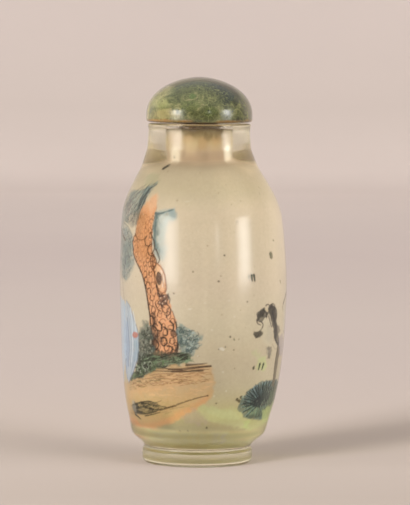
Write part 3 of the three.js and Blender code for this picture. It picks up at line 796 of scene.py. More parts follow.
stroke((128, 92, 60), 0.75, (0.09, 0.05),
       [(-10.31, 15.68), (-7.98, 16.03), (-6.3, 15.94)])
stroke((128, 92, 60), 0.75, (0.09, 0.05),
       [(-1.02, 18.41), (0.43, 18.25), (1.69, 18.16)])
stroke((128, 92, 60), 0.75, (0.09, 0.05),
       [(-14.42, 14.96), (-11.35, 15.51)])
stroke((128, 92, 60), 0.75, (0.09, 0.05),
       [(-3.93, 15.78), (-2.05, 16.11)])
stroke((128, 92, 60), 0.75, (0.09, 0.05),
       [(-10.19, 17.25), (-7.48, 17.8), (-5.08, 17.93)])
stroke((72, 50, 34), 0.92, (0.08, 0.22),
       [(-6.84, 18.76), (-3.94, 18.82), (-1.04, 19.23), (1.54, 19.43)])
stroke((78, 56, 38), 0.9, (0.1, 0.2),
       [(-9.44, 18.16), (-6.65, 18.26), (-3.2, 18.38), (0.23, 18.59)])
stroke((78, 56, 38), 0.8, (0.12, 0.1),
       [(-2.85, 19.77), (-1.06, 19.78), (0.89, 19.94)])
dashes([(-16.31, 15.15), (-11.52, 16.5), (-7.91, 17.5), (-4.31, 18.05), (-1.01, 18.32), (1.52, 17.98), (0.88, 16.33), (-2.05, 16.11), (-5.9, 15.78), (-10.34, 15.31), (-15.29, 14.32)], 110, (136, 98, 58), 0.75, 1.5, 0.14, 0.08, 54)
dashes([(-16.78, 15.1), (-11.53, 16.32), (-7.93, 17.13), (-5.47, 17.45), (-7.99, 15.84), (-13.16, 14.7), (-17.26, 13.58)], 40, (96, 92, 54), 0.6, 1.4, 0.13, 0.1, 55)
dashes([(-16.41, 14.77), (-10.25, 16.42), (-5.47, 17.45), (-0.28, 17.97), (1.75, 17.25), (1.73, 14.67), (-2.0, 13.52), (-8.17, 13.24), (-15.78, 12.61)], 46, (226, 178, 126), 0.5, 1.8, 0.2, 0.08, 56)
dashes([(-13.54, 12.82), (-8.15, 13.43), (-2.38, 13.13), (-0.8, 12.42), (-4.92, 10.52), (-11.8, 9.2), (-16.88, 9.36)], 40, (176, 156, 104), 0.5, 2.0, 0.22, 0.1, 57)
wash((150, 158, 160), 0.7, 0.5, 0.5, 0.4,
     [(-19.16, 11.29), (-16.06, 11.9), (-14.74, 11.32), (-15.47, 10.02), (-18.65, 9.22), (-19.35, 10.06)])
wash((86, 88, 88), 0.85, 0.35, 0.4, 0.3,
     [(-17.57, 11.34), (-15.67, 11.85), (-14.47, 11.51), (-15.14, 10.23), (-17.22, 9.51), (-18.8, 9.92)])
wash((84, 76, 48), 0.8, 0.4, 0.5, 0.4,
     [(-15.41, 11.52), (-12.47, 12.1), (-10.27, 12.0), (-9.35, 11.54), (-11.19, 10.62), (-13.89, 10.14), (-15.66, 10.36)])
wash((134, 116, 84), 0.45, 0.5, 0.6, 0.5,
     [(-15.46, 11.43), (-11.87, 12.15), (-9.28, 11.89), (-8.43, 11.25), (-11.36, 10.15), (-14.89, 9.7)])
stroke((62, 58, 42), 0.92, (0.16, 0.1),
       [(-18.08, 11.04), (-14.93, 11.74), (-11.91, 11.97), (-10.06, 11.76), (-9.41, 11.28)])
stroke((62, 58, 42), 0.92, (0.16, 0.12),
       [(-15.81, 10.79), (-13.64, 11.41), (-11.45, 11.57), (-10.46, 11.21), (-12.08, 10.55), (-14.11, 10.4), (-15.48, 10.64)])
stroke((62, 58, 42), 0.92, (0.22, 0.06),
       [(-19.41, 9.69), (-15.9, 9.44), (-15.61, 8.83)])
stroke((62, 58, 42), 0.92, (0.08, 0.08),
       [(-13.75, 12.05), (-10.97, 12.48), (-9.47, 12.23)])
stroke((62, 58, 42), 0.92, (0.14, 0.06),
       [(-11.19, 10.62), (-9.45, 11.1), (-8.02, 11.54)])
stroke((62, 58, 42), 0.92, (0.14, 0.1),
       [(-12.8, 11.07), (-11.56, 11.22), (-11.07, 10.99)])
stroke((62, 58, 42), 0.92, (0.18, 0.08),
       [(-17.66, 10.2), (-14.76, 9.89), (-11.62, 10.23), (-9.28, 10.75)])
stroke((62, 58, 42), 0.92, (0.1, 0.05),
       [(-10.25, 12.09), (-8.71, 12.46), (-7.87, 12.79)])
stroke((40, 36, 24), 0.95, (0.42, 0.3),
       [(-15.41, 11.52), (-12.5, 11.98), (-10.33, 11.72), (-9.37, 11.44)])
stroke((40, 36, 24), 0.95, (0.4, 0.26),
       [(-15.32, 10.92), (-13.34, 11.33), (-11.52, 11.32), (-10.23, 11.06), (-8.91, 11.25)])
stroke((40, 36, 24), 0.95, (0.34, 0.2),
       [(-15.72, 10.27), (-13.18, 10.2), (-10.96, 10.47), (-9.24, 10.91)])
stroke((40, 36, 24), 0.95, (0.36, 0.16),
       [(-17.42, 9.86), (-15.98, 9.34), (-15.08, 8.96)])
stroke((40, 36, 24), 0.95, (0.16, 0.12),
       [(-13.4, 12.12), (-10.72, 12.39), (-8.77, 12.03)])
stroke((40, 36, 24), 0.95, (0.2, 0.14),
       [(-9.56, 11.7), (-7.91, 11.49), (-8.46, 11.1), (-10.02, 10.86)])
stroke((40, 36, 24), 0.95, (0.16, 0.12),
       [(-8.45, 11.18), (-6.09, 11.72), (-4.8, 11.95)])
stroke((40, 36, 24), 0.95, (0.14, 0.1),
       [(-10.77, 12.14), (-9.04, 11.84), (-6.97, 11.68)])
stroke((40, 36, 24), 0.95, (0.16, 0.1),
       [(-13.14, 9.66), (-10.82, 10.08), (-8.56, 10.63)])
dashes([(-14.54, 11.77), (-10.73, 12.32), (-8.34, 11.78), (-7.72, 11.29), (-10.15, 10.42), (-13.99, 9.96)], 44, (176, 150, 100), 0.85, 1.0, 0.15, 0.1, 61)
dashes([(-14.89, 11.82), (-10.7, 12.5), (-8.31, 11.95), (-7.48, 11.3), (-10.15, 10.42), (-14.11, 9.76)], 26, (70, 64, 42), 0.8, 1.2, 0.13, 0.1, 58)
stroke((104, 78, 46), 0.8, (0.15, 0.12),
       [(-8.49, 10.96), (-5.66, 11.74), (-3.16, 12.66), (-0.84, 13.43), (1.18, 13.97)])
stroke((98, 76, 46), 0.85, (0.1, 0.08),
       [(-8.22, 11.08), (-6.54, 11.62)])
stroke((98, 76, 46), 0.85, (0.1, 0.08),
       [(-6.31, 11.71), (-5.0, 12.12)])
stroke((98, 76, 46), 0.85, (0.1, 0.08),
       [(-4.68, 12.26), (-3.36, 12.73)])
stroke((98, 76, 46), 0.85, (0.1, 0.08),
       [(-2.96, 12.87), (-1.8, 13.24)])
stroke((98, 76, 46), 0.85, (0.1, 0.08),
       [(-1.41, 13.34), (-0.28, 13.68)])
stroke((98, 76, 46), 0.85, (0.1, 0.08),
       [(-0.1, 13.74), (1.12, 13.93)])
dot((84, 62, 40), 0.9, 0.13, (1.33, 13.99))
stroke((120, 100, 64), 0.6, (0.07, 0.05),
       [(-10.65, 10.57), (-8.59, 10.52), (-6.62, 10.99)])
stroke((120, 100, 64), 0.6, (0.07, 0.05),
       [(-6.14, 11.28), (-4.82, 11.6), (-3.17, 11.84)])
stroke((120, 100, 64), 0.6, (0.07, 0.05),
       [(-7.39, 10.5), (-5.74, 10.94)])
wash((172, 154, 134), 0.7, 0.8, 0.35, 0.5,
     [(-3.21, 10.58), (-1.36, 11.26), (0.64, 11.2), (1.73, 10.47), (1.94, 8.96), (-0.21, 8.36), (-2.87, 9.1)])
wash((186, 184, 134), 0.75, 0.7, 0.3, 0.4,
     [(-0.78, 11.89), (0.37, 12.35), (1.96, 11.99), (3.82, 11.62), (5.69, 11.67), (7.5, 11.52), (9.67, 10.26), (12.31, 9.2), (17.28, 8.92), (20.27, 9.46), (21.1, 8.32), (17.16, 7.55), (10.02, 7.8), (5.25, 8.53), (1.88, 9.34), (0.06, 10.83)])
wash((176, 184, 118), 0.75, 0.6, 0.3, 0.3,
     [(10.29, 9.12), (13.71, 9.13), (17.28, 8.92), (20.5, 9.35), (21.72, 8.45), (19.01, 7.64), (14.72, 7.48), (11.38, 7.92)])
wash((190, 192, 146), 0.5, 0.8, 0.3, 0.4,
     [(0.79, 11.9), (4.07, 11.35), (7.17, 11.09), (9.13, 9.73), (6.86, 9.25), (3.04, 10.09)])
wash((176, 168, 128), 0.45, 1.2, 0.3, 0.4,
     [(-24.45, 6.98), (-10.66, 7.26), (-2.01, 8.73), (2.62, 7.96), (8.3, 7.34), (8.66, 6.66), (-2.58, 6.62), (-18.85, 6.58), (-23.55, 6.95)])
wash((170, 160, 114), 0.75, 0.7, 0.2, 0.3,
     [(12.49, 9.38), (16.4, 9.6), (19.5, 9.86), (25.6, 8.73), (26.04, 7.43), (16.62, 7.18), (12.49, 8.06)])
wash((66, 92, 88), 0.95, 0.28, 0.5, 0.3,
     [(7.99, 11.59), (8.2, 12.83), (8.8, 13.73), (9.94, 15.06), (11.77, 15.99), (14.07, 16.29), (17.31, 16.16), (21.92, 15.5), (22.77, 13.55), (21.46, 11.47), (19.38, 10.4), (19.25, 9.16), (15.54, 9.2), (12.52, 9.34), (10.1, 9.91), (8.73, 10.67)])
wash((88, 116, 84), 0.65, 0.7, 0.5, 0.5,
     [(10.6, 12.52), (13.75, 11.99), (16.93, 10.91), (16.51, 9.51), (12.61, 9.65), (10.41, 10.95)])
wash((104, 136, 144), 0.6, 0.6, 0.5, 0.5,
     [(8.89, 13.35), (10.23, 14.86), (11.87, 15.58), (12.84, 14.23), (11.57, 12.83), (9.93, 12.2)])
wash((40, 52, 46), 0.7, 0.5, 0.4, 0.3,
     [(10.49, 10.22), (12.17, 10.31), (14.33, 9.64), (13.26, 9.24), (11.1, 9.64)])
wash((58, 84, 82), 0.9, 0.3, 0.5, 0.3,
     [(12.99, 15.69), (14.82, 16.1), (17.91, 16.03), (21.0, 15.4), (23.58, 13.13), (22.46, 10.72), (19.63, 8.96), (15.11, 9.23), (12.76, 12.75)])
wash((104, 104, 84), 0.7, 0.5, 0.5, 0.4,
     [(15.68, 14.01), (17.78, 15.31), (23.2, 14.59), (23.33, 12.46), (21.33, 10.45), (19.71, 9.31), (16.38, 10.06), (15.43, 12.22)])
stroke((134, 160, 156), 0.6, (0.15, 0.12),
       [(11.35, 12.3), (10.03, 12.37), (8.56, 12.37)])
stroke((26, 38, 38), 0.92, (0.26, 0.16),
       [(12.25, 12.25), (10.58, 12.34), (8.86, 12.39)])
stroke((134, 160, 156), 0.6, (0.15, 0.12),
       [(11.41, 12.55), (10.14, 12.85), (8.74, 13.1)])
stroke((26, 38, 38), 0.92, (0.26, 0.16),
       [(12.29, 12.42), (10.68, 12.77), (9.04, 13.12)])
stroke((134, 160, 156), 0.6, (0.15, 0.12),
       [(11.58, 12.77), (10.44, 13.26), (9.18, 13.73)])
stroke((26, 38, 38), 0.92, (0.26, 0.16),
       [(12.41, 12.57), (10.96, 13.14), (9.48, 13.75)])
stroke((134, 160, 156), 0.6, (0.15, 0.12),
       [(11.76, 12.99), (10.76, 13.67), (9.63, 14.35)])
stroke((26, 38, 38), 0.92, (0.26, 0.16),
       [(12.54, 12.72), (11.25, 13.52), (9.94, 14.37)])
stroke((134, 160, 156), 0.6, (0.15, 0.12),
       [(12.0, 13.18), (11.18, 14.01), (10.25, 14.87)])
stroke((26, 38, 38), 0.92, (0.26, 0.16),
       [(12.72, 12.85), (11.64, 13.82), (10.57, 14.89)])
stroke((134, 160, 156), 0.6, (0.15, 0.12),
       [(12.21, 13.33), (11.55, 14.29), (10.78, 15.3)])
stroke((26, 38, 38), 0.92, (0.26, 0.16),
       [(12.87, 12.95), (11.98, 14.08), (11.11, 15.32)])
stroke((134, 160, 156), 0.6, (0.15, 0.12),
       [(12.49, 13.44), (12.04, 14.49), (11.49, 15.61)])
stroke((26, 38, 38), 0.92, (0.26, 0.16),
       [(13.07, 13.02), (12.44, 14.26), (11.84, 15.62)])
stroke((134, 160, 156), 0.6, (0.15, 0.12),
       [(12.78, 13.53), (12.56, 14.65), (12.25, 15.85)])
stroke((26, 38, 38), 0.92, (0.26, 0.16),
       [(13.28, 13.08), (12.93, 14.4), (12.62, 15.86)])
stroke((134, 160, 156), 0.6, (0.15, 0.12),
       [(13.09, 13.57), (13.12, 14.73), (13.09, 15.97)])
stroke((26, 38, 38), 0.92, (0.26, 0.16),
       [(13.51, 13.11), (13.46, 14.48), (13.49, 15.98)])
stroke((134, 160, 156), 0.6, (0.15, 0.12),
       [(13.43, 13.59), (13.74, 14.76), (14.02, 16.02)])
stroke((26, 38, 38), 0.92, (0.26, 0.16),
       [(13.75, 13.13), (14.04, 14.5), (14.46, 16.02)])
stroke((134, 160, 156), 0.6, (0.15, 0.12),
       [(13.77, 13.59), (14.4, 14.76), (15.07, 16.01)])
stroke((26, 38, 38), 0.92, (0.26, 0.16),
       [(14.0, 13.13), (14.66, 14.5), (15.56, 16.01)])
stroke((134, 160, 156), 0.6, (0.15, 0.12),
       [(14.15, 13.56), (15.14, 14.7), (16.3, 15.91)])
stroke((26, 38, 38), 0.92, (0.26, 0.16),
       [(14.27, 13.11), (15.36, 14.44), (16.9, 15.9)])
stroke((134, 160, 156), 0.6, (0.15, 0.12),
       [(14.56, 13.49), (15.98, 14.57), (17.9, 15.67)])
stroke((26, 38, 38), 0.92, (0.26, 0.16),
       [(14.56, 13.06), (16.15, 14.32), (18.73, 15.63)])
stroke((134, 160, 156), 0.6, (0.15, 0.12),
       [(11.4, 12.05), (10.1, 11.91), (8.65, 11.67)])
stroke((26, 38, 38), 0.92, (0.26, 0.16),
       [(12.28, 12.07), (10.65, 11.92), (8.95, 11.69)])
stroke((134, 160, 156), 0.6, (0.15, 0.12),
       [(11.58, 11.73), (10.42, 11.31), (9.1, 10.76)])
stroke((26, 38, 38), 0.92, (0.26, 0.16),
       [(12.42, 11.85), (10.95, 11.38), (9.41, 10.78)])
stroke((134, 160, 156), 0.6, (0.15, 0.12),
       [(12.08, 11.45), (11.29, 10.8), (10.37, 9.97)])
stroke((26, 38, 38), 0.92, (0.26, 0.16),
       [(12.79, 11.66), (11.77, 10.91), (10.72, 9.99)])
stroke((30, 38, 34), 0.9, (0.3, 0.2),
       [(13.57, 12.69), (13.41, 14.0), (13.29, 15.48)])
stroke((30, 38, 34), 0.9, (0.3, 0.2),
       [(14.13, 12.48), (13.79, 14.16), (13.79, 15.26)])
stroke((30, 38, 34), 0.9, (0.3, 0.2),
       [(14.72, 12.27), (14.33, 13.93), (14.32, 15.04)])
stroke((30, 38, 34), 0.9, (0.3, 0.2),
       [(15.04, 12.59), (14.75, 14.09), (14.66, 15.38)])
stroke((30, 38, 34), 0.9, (0.3, 0.2),
       [(15.7, 12.37), (15.36, 13.86), (15.25, 15.15)])
stroke((30, 38, 34), 0.9, (0.3, 0.2),
       [(16.44, 12.15), (15.82, 14.0), (15.88, 14.92)])
stroke((30, 38, 34), 0.9, (0.3, 0.2),
       [(16.84, 12.47), (16.54, 13.76), (16.3, 15.25)])
stroke((30, 38, 34), 0.9, (0.3, 0.2),
       [(17.72, 12.24), (17.1, 13.9), (17.04, 15.01)])
stroke((30, 38, 34), 0.9, (0.3, 0.2),
       [(18.8, 11.99), (17.99, 13.64), (17.91, 14.75)])
stroke((30, 38, 34), 0.9, (0.3, 0.2),
       [(19.45, 12.29), (18.75, 13.77), (18.51, 15.07)])
stroke((34, 44, 36), 0.85, (0.3, 0.18),
       [(13.94, 9.66), (13.54, 10.77), (13.37, 11.84)])
stroke((138, 146, 118), 0.5, (0.16, 0.1),
       [(14.09, 9.84), (13.74, 10.94), (13.57, 11.83)])
stroke((34, 44, 36), 0.85, (0.3, 0.18),
       [(14.52, 9.72), (14.1, 10.81), (13.89, 11.91)])
stroke((138, 146, 118), 0.5, (0.16, 0.1),
       [(14.67, 9.89), (14.31, 10.97), (14.12, 11.88)])
stroke((34, 44, 36), 0.85, (0.3, 0.18),
       [(15.12, 9.77), (14.7, 10.84), (14.45, 11.98)])
stroke((138, 146, 118), 0.5, (0.16, 0.1),
       [(15.28, 9.95), (14.91, 11.01), (14.7, 11.93)])
stroke((34, 44, 36), 0.85, (0.3, 0.18),
       [(15.77, 9.82), (15.33, 10.87), (15.04, 12.04)])
stroke((138, 146, 118), 0.5, (0.16, 0.1),
       [(15.95, 9.99), (15.57, 11.04), (15.32, 11.97)])
stroke((34, 44, 36), 0.85, (0.3, 0.18),
       [(16.48, 9.87), (16.02, 10.9), (15.67, 12.1)])
stroke((138, 146, 118), 0.5, (0.16, 0.1),
       [(16.68, 10.04), (16.27, 11.06), (15.99, 12.01)])
stroke((34, 44, 36), 0.85, (0.3, 0.18),
       [(17.26, 9.91), (16.78, 10.92), (16.36, 12.16)])
stroke((138, 146, 118), 0.5, (0.16, 0.1),
       [(17.49, 10.08), (17.06, 11.08), (16.72, 12.05)])
stroke((34, 44, 36), 0.85, (0.3, 0.18),
       [(18.16, 9.94), (17.63, 10.94), (17.13, 12.21)])
stroke((138, 146, 118), 0.5, (0.16, 0.1),
       [(18.43, 10.1), (17.97, 11.09), (17.56, 12.08)])
stroke((34, 44, 36), 0.85, (0.3, 0.18),
       [(19.25, 9.96), (18.65, 10.94), (18.02, 12.25)])
stroke((138, 146, 118), 0.5, (0.16, 0.1),
       [(19.61, 10.12), (19.08, 11.08), (18.55, 12.1)])
stroke((34, 44, 36), 0.85, (0.3, 0.18),
       [(20.8, 9.95), (20.01, 10.92), (19.11, 12.28)])
stroke((138, 146, 118), 0.5, (0.16, 0.1),
       [(21.52, 10.08), (20.7, 11.04), (19.87, 12.09)])
scribble([(8.69, 12.26), (9.77, 13.68), (12.24, 14.27), (15.68, 14.01), (19.37, 11.96), (18.3, 9.76), (11.77, 9.97)], 60, (28, 40, 38), 0.85, 59)
scribble([(8.79, 11.91), (10.27, 13.65), (13.61, 13.8), (16.8, 12.13), (16.09, 9.89), (11.17, 10.0)], 34, (112, 140, 124), 0.6, 60)
stroke((116, 128, 108), 0.75, (0.34, 0.2),
       [(14.48, 12.11), (14.06, 13.77), (13.87, 15.26)])
stroke((26, 32, 30), 0.9, (0.3, 0.2),
       [(14.89, 11.91), (14.46, 13.55), (14.15, 15.24)])
stroke((116, 128, 108), 0.75, (0.34, 0.2),
       [(15.1, 12.12), (14.59, 13.91), (14.36, 15.5)])
stroke((26, 32, 30), 0.9, (0.3, 0.2),
       [(15.55, 11.92), (15.01, 13.7), (14.65, 15.47)])
stroke((116, 128, 108), 0.75, (0.34, 0.2),
       [(15.78, 12.13), (15.33, 13.67), (14.88, 15.73)])
stroke((26, 32, 30), 0.9, (0.3, 0.2),
       [(16.27, 11.93), (15.8, 13.45), (15.18, 15.71)])
stroke((116, 128, 108), 0.75, (0.34, 0.2),
       [(16.52, 12.13), (15.94, 13.81), (15.77, 15.11)])
stroke((26, 32, 30), 0.9, (0.3, 0.2),
       [(17.07, 11.92), (16.46, 13.58), (16.12, 15.08)])
stroke((116, 128, 108), 0.75, (0.34, 0.2),
       [(17.36, 12.13), (16.85, 13.55), (16.39, 15.34)])
stroke((26, 32, 30), 0.9, (0.3, 0.2),
       [(18.0, 11.91), (17.45, 13.32), (16.77, 15.3)])
stroke((116, 128, 108), 0.75, (0.34, 0.2),
       [(18.34, 12.11), (17.63, 13.67), (17.07, 15.55)])
stroke((26, 32, 30), 0.9, (0.3, 0.2),
       [(19.16, 11.89), (18.34, 13.43), (17.5, 15.52)])
stroke((116, 128, 108), 0.75, (0.34, 0.2),
       [(19.62, 12.07), (18.92, 13.39), (18.42, 14.89)])
stroke((26, 32, 30), 0.9, (0.3, 0.2),
       [(20.97, 11.81), (19.95, 13.12), (19.0, 14.84)])
stroke((116, 128, 108), 0.75, (0.34, 0.2),
       [(22.65, 11.99), (20.33, 13.45), (19.5, 15.07)])
stroke((26, 32, 30), 0.9, (0.3, 0.2),
       [(23.51, 11.8), (22.62, 13.18), (20.38, 15.0)])
rays((14.43, 11.42), [(8.31, 11.93), (8.65, 13.37), (9.55, 14.62), (10.84, 15.46), (12.32, 16.01), (14.43, 16.2), (17.4, 15.98), (19.95, 14.4)], 26, (30, 42, 42), 0.9, 31)
dot((88, 76, 50), 0.95, 0.24, (7.35, 13.13))
dot((88, 76, 50), 0.95, 0.24, (7.85, 12.84))
dot((88, 76, 50), 0.95, 0.24, (8.16, 13.52))
wash((140, 170, 160), 0.6, 0.3, 0.3, 0.2,
     [(8.3, 13.38), (8.57, 13.74), (9.02, 13.81), (8.81, 13.17)])
wash((198, 184, 156), 0.6, 0.7, 0.3, 0.4,
     [(11.35, 27.87), (12.63, 28.34), (13.87, 26.98), (14.73, 24.71), (13.98, 22.93), (12.52, 22.85), (11.53, 24.94)])
wash((176, 164, 140), 0.45, 0.7, 0.3, 0.4,
     [(12.43, 27.08), (13.87, 26.98), (15.11, 24.5), (14.3, 22.9), (12.98, 23.74)])
wash((44, 42, 38), 0.93, 0.22, 0.5, 0.3,
     [(10.06, 27.58), (10.25, 28.66), (10.8, 29.46), (11.66, 29.68), (12.01, 29.02), (11.71, 28.22), (10.99, 27.71), (10.53, 27.37)])
wash((46, 44, 40), 0.95, 0.22, 0.5, 0.3,
     [(12.2, 28.92), (12.84, 29.8), (14.16, 30.08), (15.35, 29.63), (15.81, 28.49), (15.71, 27.39), (14.85, 26.91), (13.82, 27.71), (13.04, 28.59), (12.49, 28.35)])
wash((50, 45, 39), 0.96, 0.12, 0.35, 0.2,
     [(13.0, 29.97), (14.0, 30.16), (15.0, 29.65), (15.5, 28.51), (15.76, 27.2), (16.25, 25.69), (17.02, 24.15), (17.82, 22.79), (17.55, 22.19), (16.28, 22.92), (15.18, 23.94), (14.72, 25.45), (14.12, 26.96), (13.37, 28.29), (12.82, 29.06)])
wash((48, 44, 38), 0.95, 0.12, 0.4, 0.3,
     [(10.18, 27.39), (10.05, 28.42), (10.57, 29.3), (11.4, 29.73), (12.2, 29.54), (12.43, 29.09), (12.9, 28.58), (12.54, 27.91), (11.86, 27.84), (11.38, 27.33), (10.75, 27.11)])
wash((206, 186, 150), 0.8, 0.15, 0.2, 0.1,
     [(11.94, 29.48), (12.68, 29.77), (12.99, 29.05), (12.61, 28.78)])
wash((74, 66, 58), 0.8, 0.2, 0.4, 0.2,
     [(15.63, 26.29), (17.08, 26.06), (17.87, 25.0), (16.94, 24.6), (16.0, 25.16)])
stroke((60, 52, 44), 0.9, (0.2, 0.12),
       [(12.24, 30.09), (12.82, 30.27), (13.4, 29.94)])
stroke((60, 52, 44), 0.9, (0.2, 0.12),
       [(13.57, 30.15), (14.3, 30.29), (14.99, 29.91)])
stroke((60, 52, 44), 0.9, (0.2, 0.12),
       [(10.03, 27.58), (10.39, 26.91), (11.07, 26.62)])
stroke((60, 52, 44), 0.9, (0.2, 0.12),
       [(11.14, 27.23), (11.66, 26.69), (11.55, 26.04)])
stroke((60, 52, 44), 0.9, (0.2, 0.12),
       [(13.09, 28.13), (13.56, 27.07), (14.07, 26.05)])
stroke((50, 47, 43), 0.95, (0.42, 0.3),
       [(14.22, 28.79), (14.8, 27.46), (15.46, 26.12), (15.81, 24.81), (15.66, 23.71), (17.1, 22.39)])
wash((58, 54, 48), 0.85, 0.25, 0.5, 0.3,
     [(14.13, 27.69), (15.57, 26.85), (16.53, 25.48), (16.15, 23.86), (15.42, 23.55), (15.02, 25.24), (14.21, 26.59)])
stroke((56, 52, 46), 0.9, (0.34, 0.16),
       [(11.62, 29.32), (12.34, 28.73), (12.52, 27.8)])
wash((60, 53, 38), 0.95, 0.14, 0.4, 0.3,
     [(9.51, 24.7), (9.65, 25.31), (10.27, 25.65), (11.08, 25.63), (11.6, 25.31), (11.39, 24.77), (10.59, 24.34), (9.86, 24.24)])
wash((62, 56, 46), 0.92, 0.3, 0.5, 0.3,
     [(9.62, 25.06), (10.04, 25.59), (10.85, 25.72), (11.49, 25.5), (11.41, 24.86), (10.71, 24.35), (9.89, 24.44)])
stroke((96, 88, 74), 0.7, (0.24, 0.08),
       [(10.99, 25.53), (11.45, 26.05), (11.55, 26.49)])
wash((104, 90, 72), 0.8, 0.25, 0.4, 0.3,
     [(13.19, 22.51), (14.24, 22.43), (14.53, 21.41), (14.34, 20.21), (13.39, 20.28), (13.26, 21.51)])
wash((190, 172, 144), 0.6, 0.15, 0.2, 0.1,
     [(13.63, 21.85), (14.14, 21.81), (14.12, 21.15), (13.67, 21.18)])
stroke((90, 82, 70), 0.6, (0.3, 0.1),
       [(13.59, 22.4), (13.94, 21.46), (13.87, 20.36)])
wash((134, 126, 110), 0.55, 0.5, 0.4, 0.3,
     [(12.83, 22.55), (14.54, 22.42), (14.63, 20.85), (13.77, 20.18), (13.17, 21.15)])
wash((106, 92, 68), 0.95, 0.1, 0.2, 0.05,
     [(16.8, 22.51), (18.21, 22.2), (18.32, 21.09), (17.99, 19.64), (17.84, 17.85), (18.03, 16.02), (17.91, 14.75), (16.72, 15.03), (16.66, 16.5), (16.38, 18.33), (16.37, 20.15), (16.68, 21.42)])
stroke((60, 50, 40), 0.8, (0.16, 0.16),
       [(17.12, 22.3), (16.68, 20.31), (16.56, 18.32), (16.75, 16.31)])
stroke((86, 80, 74), 0.6, (0.2, 0.14),
       [(17.18, 22.48), (17.2, 20.82), (17.17, 18.98), (17.21, 17.18), (17.44, 15.34)])
stroke((120, 112, 100), 0.6, (0.1, 0.06),
       [(14.64, 22.88), (15.91, 21.85), (17.17, 22.11)])
wash((150, 138, 146), 0.6, 0.5, 0.3, 0.3,
     [(17.01, 23.97), (19.26, 24.32), (22.29, 21.18), (19.04, 19.91), (17.57, 21.52)])
wash((190, 196, 132), 0.7, 0.6, 0.3, 0.4,
     [(10.78, 20.02), (11.71, 20.7), (12.97, 20.52), (13.47, 19.29), (12.97, 18.06), (11.32, 18.08), (10.68, 18.93)])
wash((184, 186, 134), 0.45, 0.7, 0.3, 0.4,
     [(8.98, 21.78), (10.32, 22.08), (11.88, 21.42), (11.21, 20.55), (9.52, 20.84)])
stroke((34, 40, 26), 0.97, (0.34, 0.2),
       [(11.57, 19.42), (11.37, 18.42)])
stroke((34, 40, 26), 0.97, (0.34, 0.2),
       [(12.55, 19.35), (12.28, 18.39)])
stroke((34, 40, 26), 0.97, (0.34, 0.2),
       [(9.4, 35.77), (9.58, 34.68)])
stroke((34, 40, 26), 0.97, (0.34, 0.2),
       [(8.88, 35.72), (9.02, 34.71)])
dot((96, 78, 56), 0.9, 0.2, (10.08, 18.79))
stroke((48, 58, 36), 0.95, (0.2, 0.1),
       [(11.61, 19.51), (11.4, 18.53)])
stroke((48, 58, 36), 0.95, (0.2, 0.1),
       [(12.58, 19.48), (12.32, 18.46)])
stroke((48, 58, 36), 0.95, (0.2, 0.1),
       [(10.18, 19.05), (10.03, 18.47)])
stroke((48, 58, 36), 0.95, (0.2, 0.1),
       [(9.36, 35.86), (9.58, 34.77)])
stroke((48, 58, 36), 0.95, (0.2, 0.1),
       [(8.88, 35.83), (8.98, 34.89)])
stroke((48, 58, 36), 0.95, (0.2, 0.1),
       [(8.29, 35.64), (8.36, 35.24)])
wash((70, 68, 44), 0.85, 0.18, 0.3, 0.2,
     [(13.57, 39.73), (14.45, 39.75), (14.54, 38.94), (14.15, 38.41), (13.63, 38.7)])
stroke((70, 80, 50), 0.85, (0.18, 0.1),
       [(13.82, 39.72), (13.87, 38.61)])
stroke((70, 80, 50), 0.85, (0.18, 0.1),
       [(14.34, 39.41), (14.45, 38.76)])
stroke((70, 80, 50), 0.85, (0.18, 0.1),
       [(15.1, 41.84), (15.42, 41.64)])
stroke((70, 80, 50), 0.85, (0.18, 0.1),
       [(16.82, 34.34), (17.07, 33.78)])
stroke((70, 80, 50), 0.85, (0.18, 0.1),
       [(18.24, 29.59), (18.54, 28.64)])
stroke((70, 80, 50), 0.85, (0.18, 0.1),
       [(5.59, 24.32), (5.68, 24.04)])
dot((44, 40, 34), 0.874, 0.12480000000000001, (3.82, 39.49))
dot((60, 50, 40), 0.8280000000000001, 0.13260000000000002, (2.67, 34.82))
dot((70, 58, 46), 0.782, 0.1014, (-1.75, 36.53))
dot((80, 66, 48), 0.782, 0.11699999999999999, (6.58, 45.5))
dot((70, 60, 46), 0.782, 0.1014, (7.99, 31.02))
dot((70, 50, 36), 0.8280000000000001, 0.10920000000000002, (-5.19, 32.56))
dot((120, 100, 70), 0.7360000000000001, 0.0936, (15.14, 50.93))
dot((120, 96, 70), 0.7360000000000001, 0.07800000000000001, (0.87, 41.24))
dot((120, 100, 70), 0.644, 0.0936, (-4.8, 49.12))
dot((50, 46, 38), 0.874, 0.13260000000000002, (4.88, 24.74))
dot((70, 60, 46), 0.8280000000000001, 0.10920000000000002, (2.89, 22.5))
dot((60, 50, 40), 0.8280000000000001, 0.1014, (4.04, 22.89))
dot((70, 60, 46), 0.782, 0.0936, (5.66, 22.3))
dot((90, 80, 60), 0.7360000000000001, 0.07800000000000001, (6.51, 24.25))
dot((100, 88, 62), 0.644, 0.0858, (6.03, 18.92))
dot((60, 66, 40), 0.782, 0.10920000000000002, (10.11, 18.73))
dot((90, 76, 50), 0.782, 0.10920000000000002, (3.13, 12.55))
dot((52, 46, 24), 0.874, 0.1716, (1.81, 8.01))
dot((84, 74, 40), 0.782, 0.10920000000000002, (-4.78, 7.34))
dot((84, 74, 40), 0.782, 0.10920000000000002, (-2.73, 7.39))
dot((36, 30, 20), 0.92, 0.39, (-13.9, 54.49))
dot((36, 30, 20), 0.92, 0.31200000000000006, (-13.22, 54.29))
dot((40, 34, 24), 0.92, 0.31200000000000006, (-14.37, 54.65))
dot((50, 42, 32), 0.874, 0.15600000000000003, (-14.05, 56.26))
dot((110, 96, 66), 0.644, 0.0936, (-10.56, 53.79))
dot((100, 90, 60), 0.644, 0.1014, (-32.24, 54.45))
dot((90, 76, 50), 0.7360000000000001, 0.0936, (8.7, 44.66))
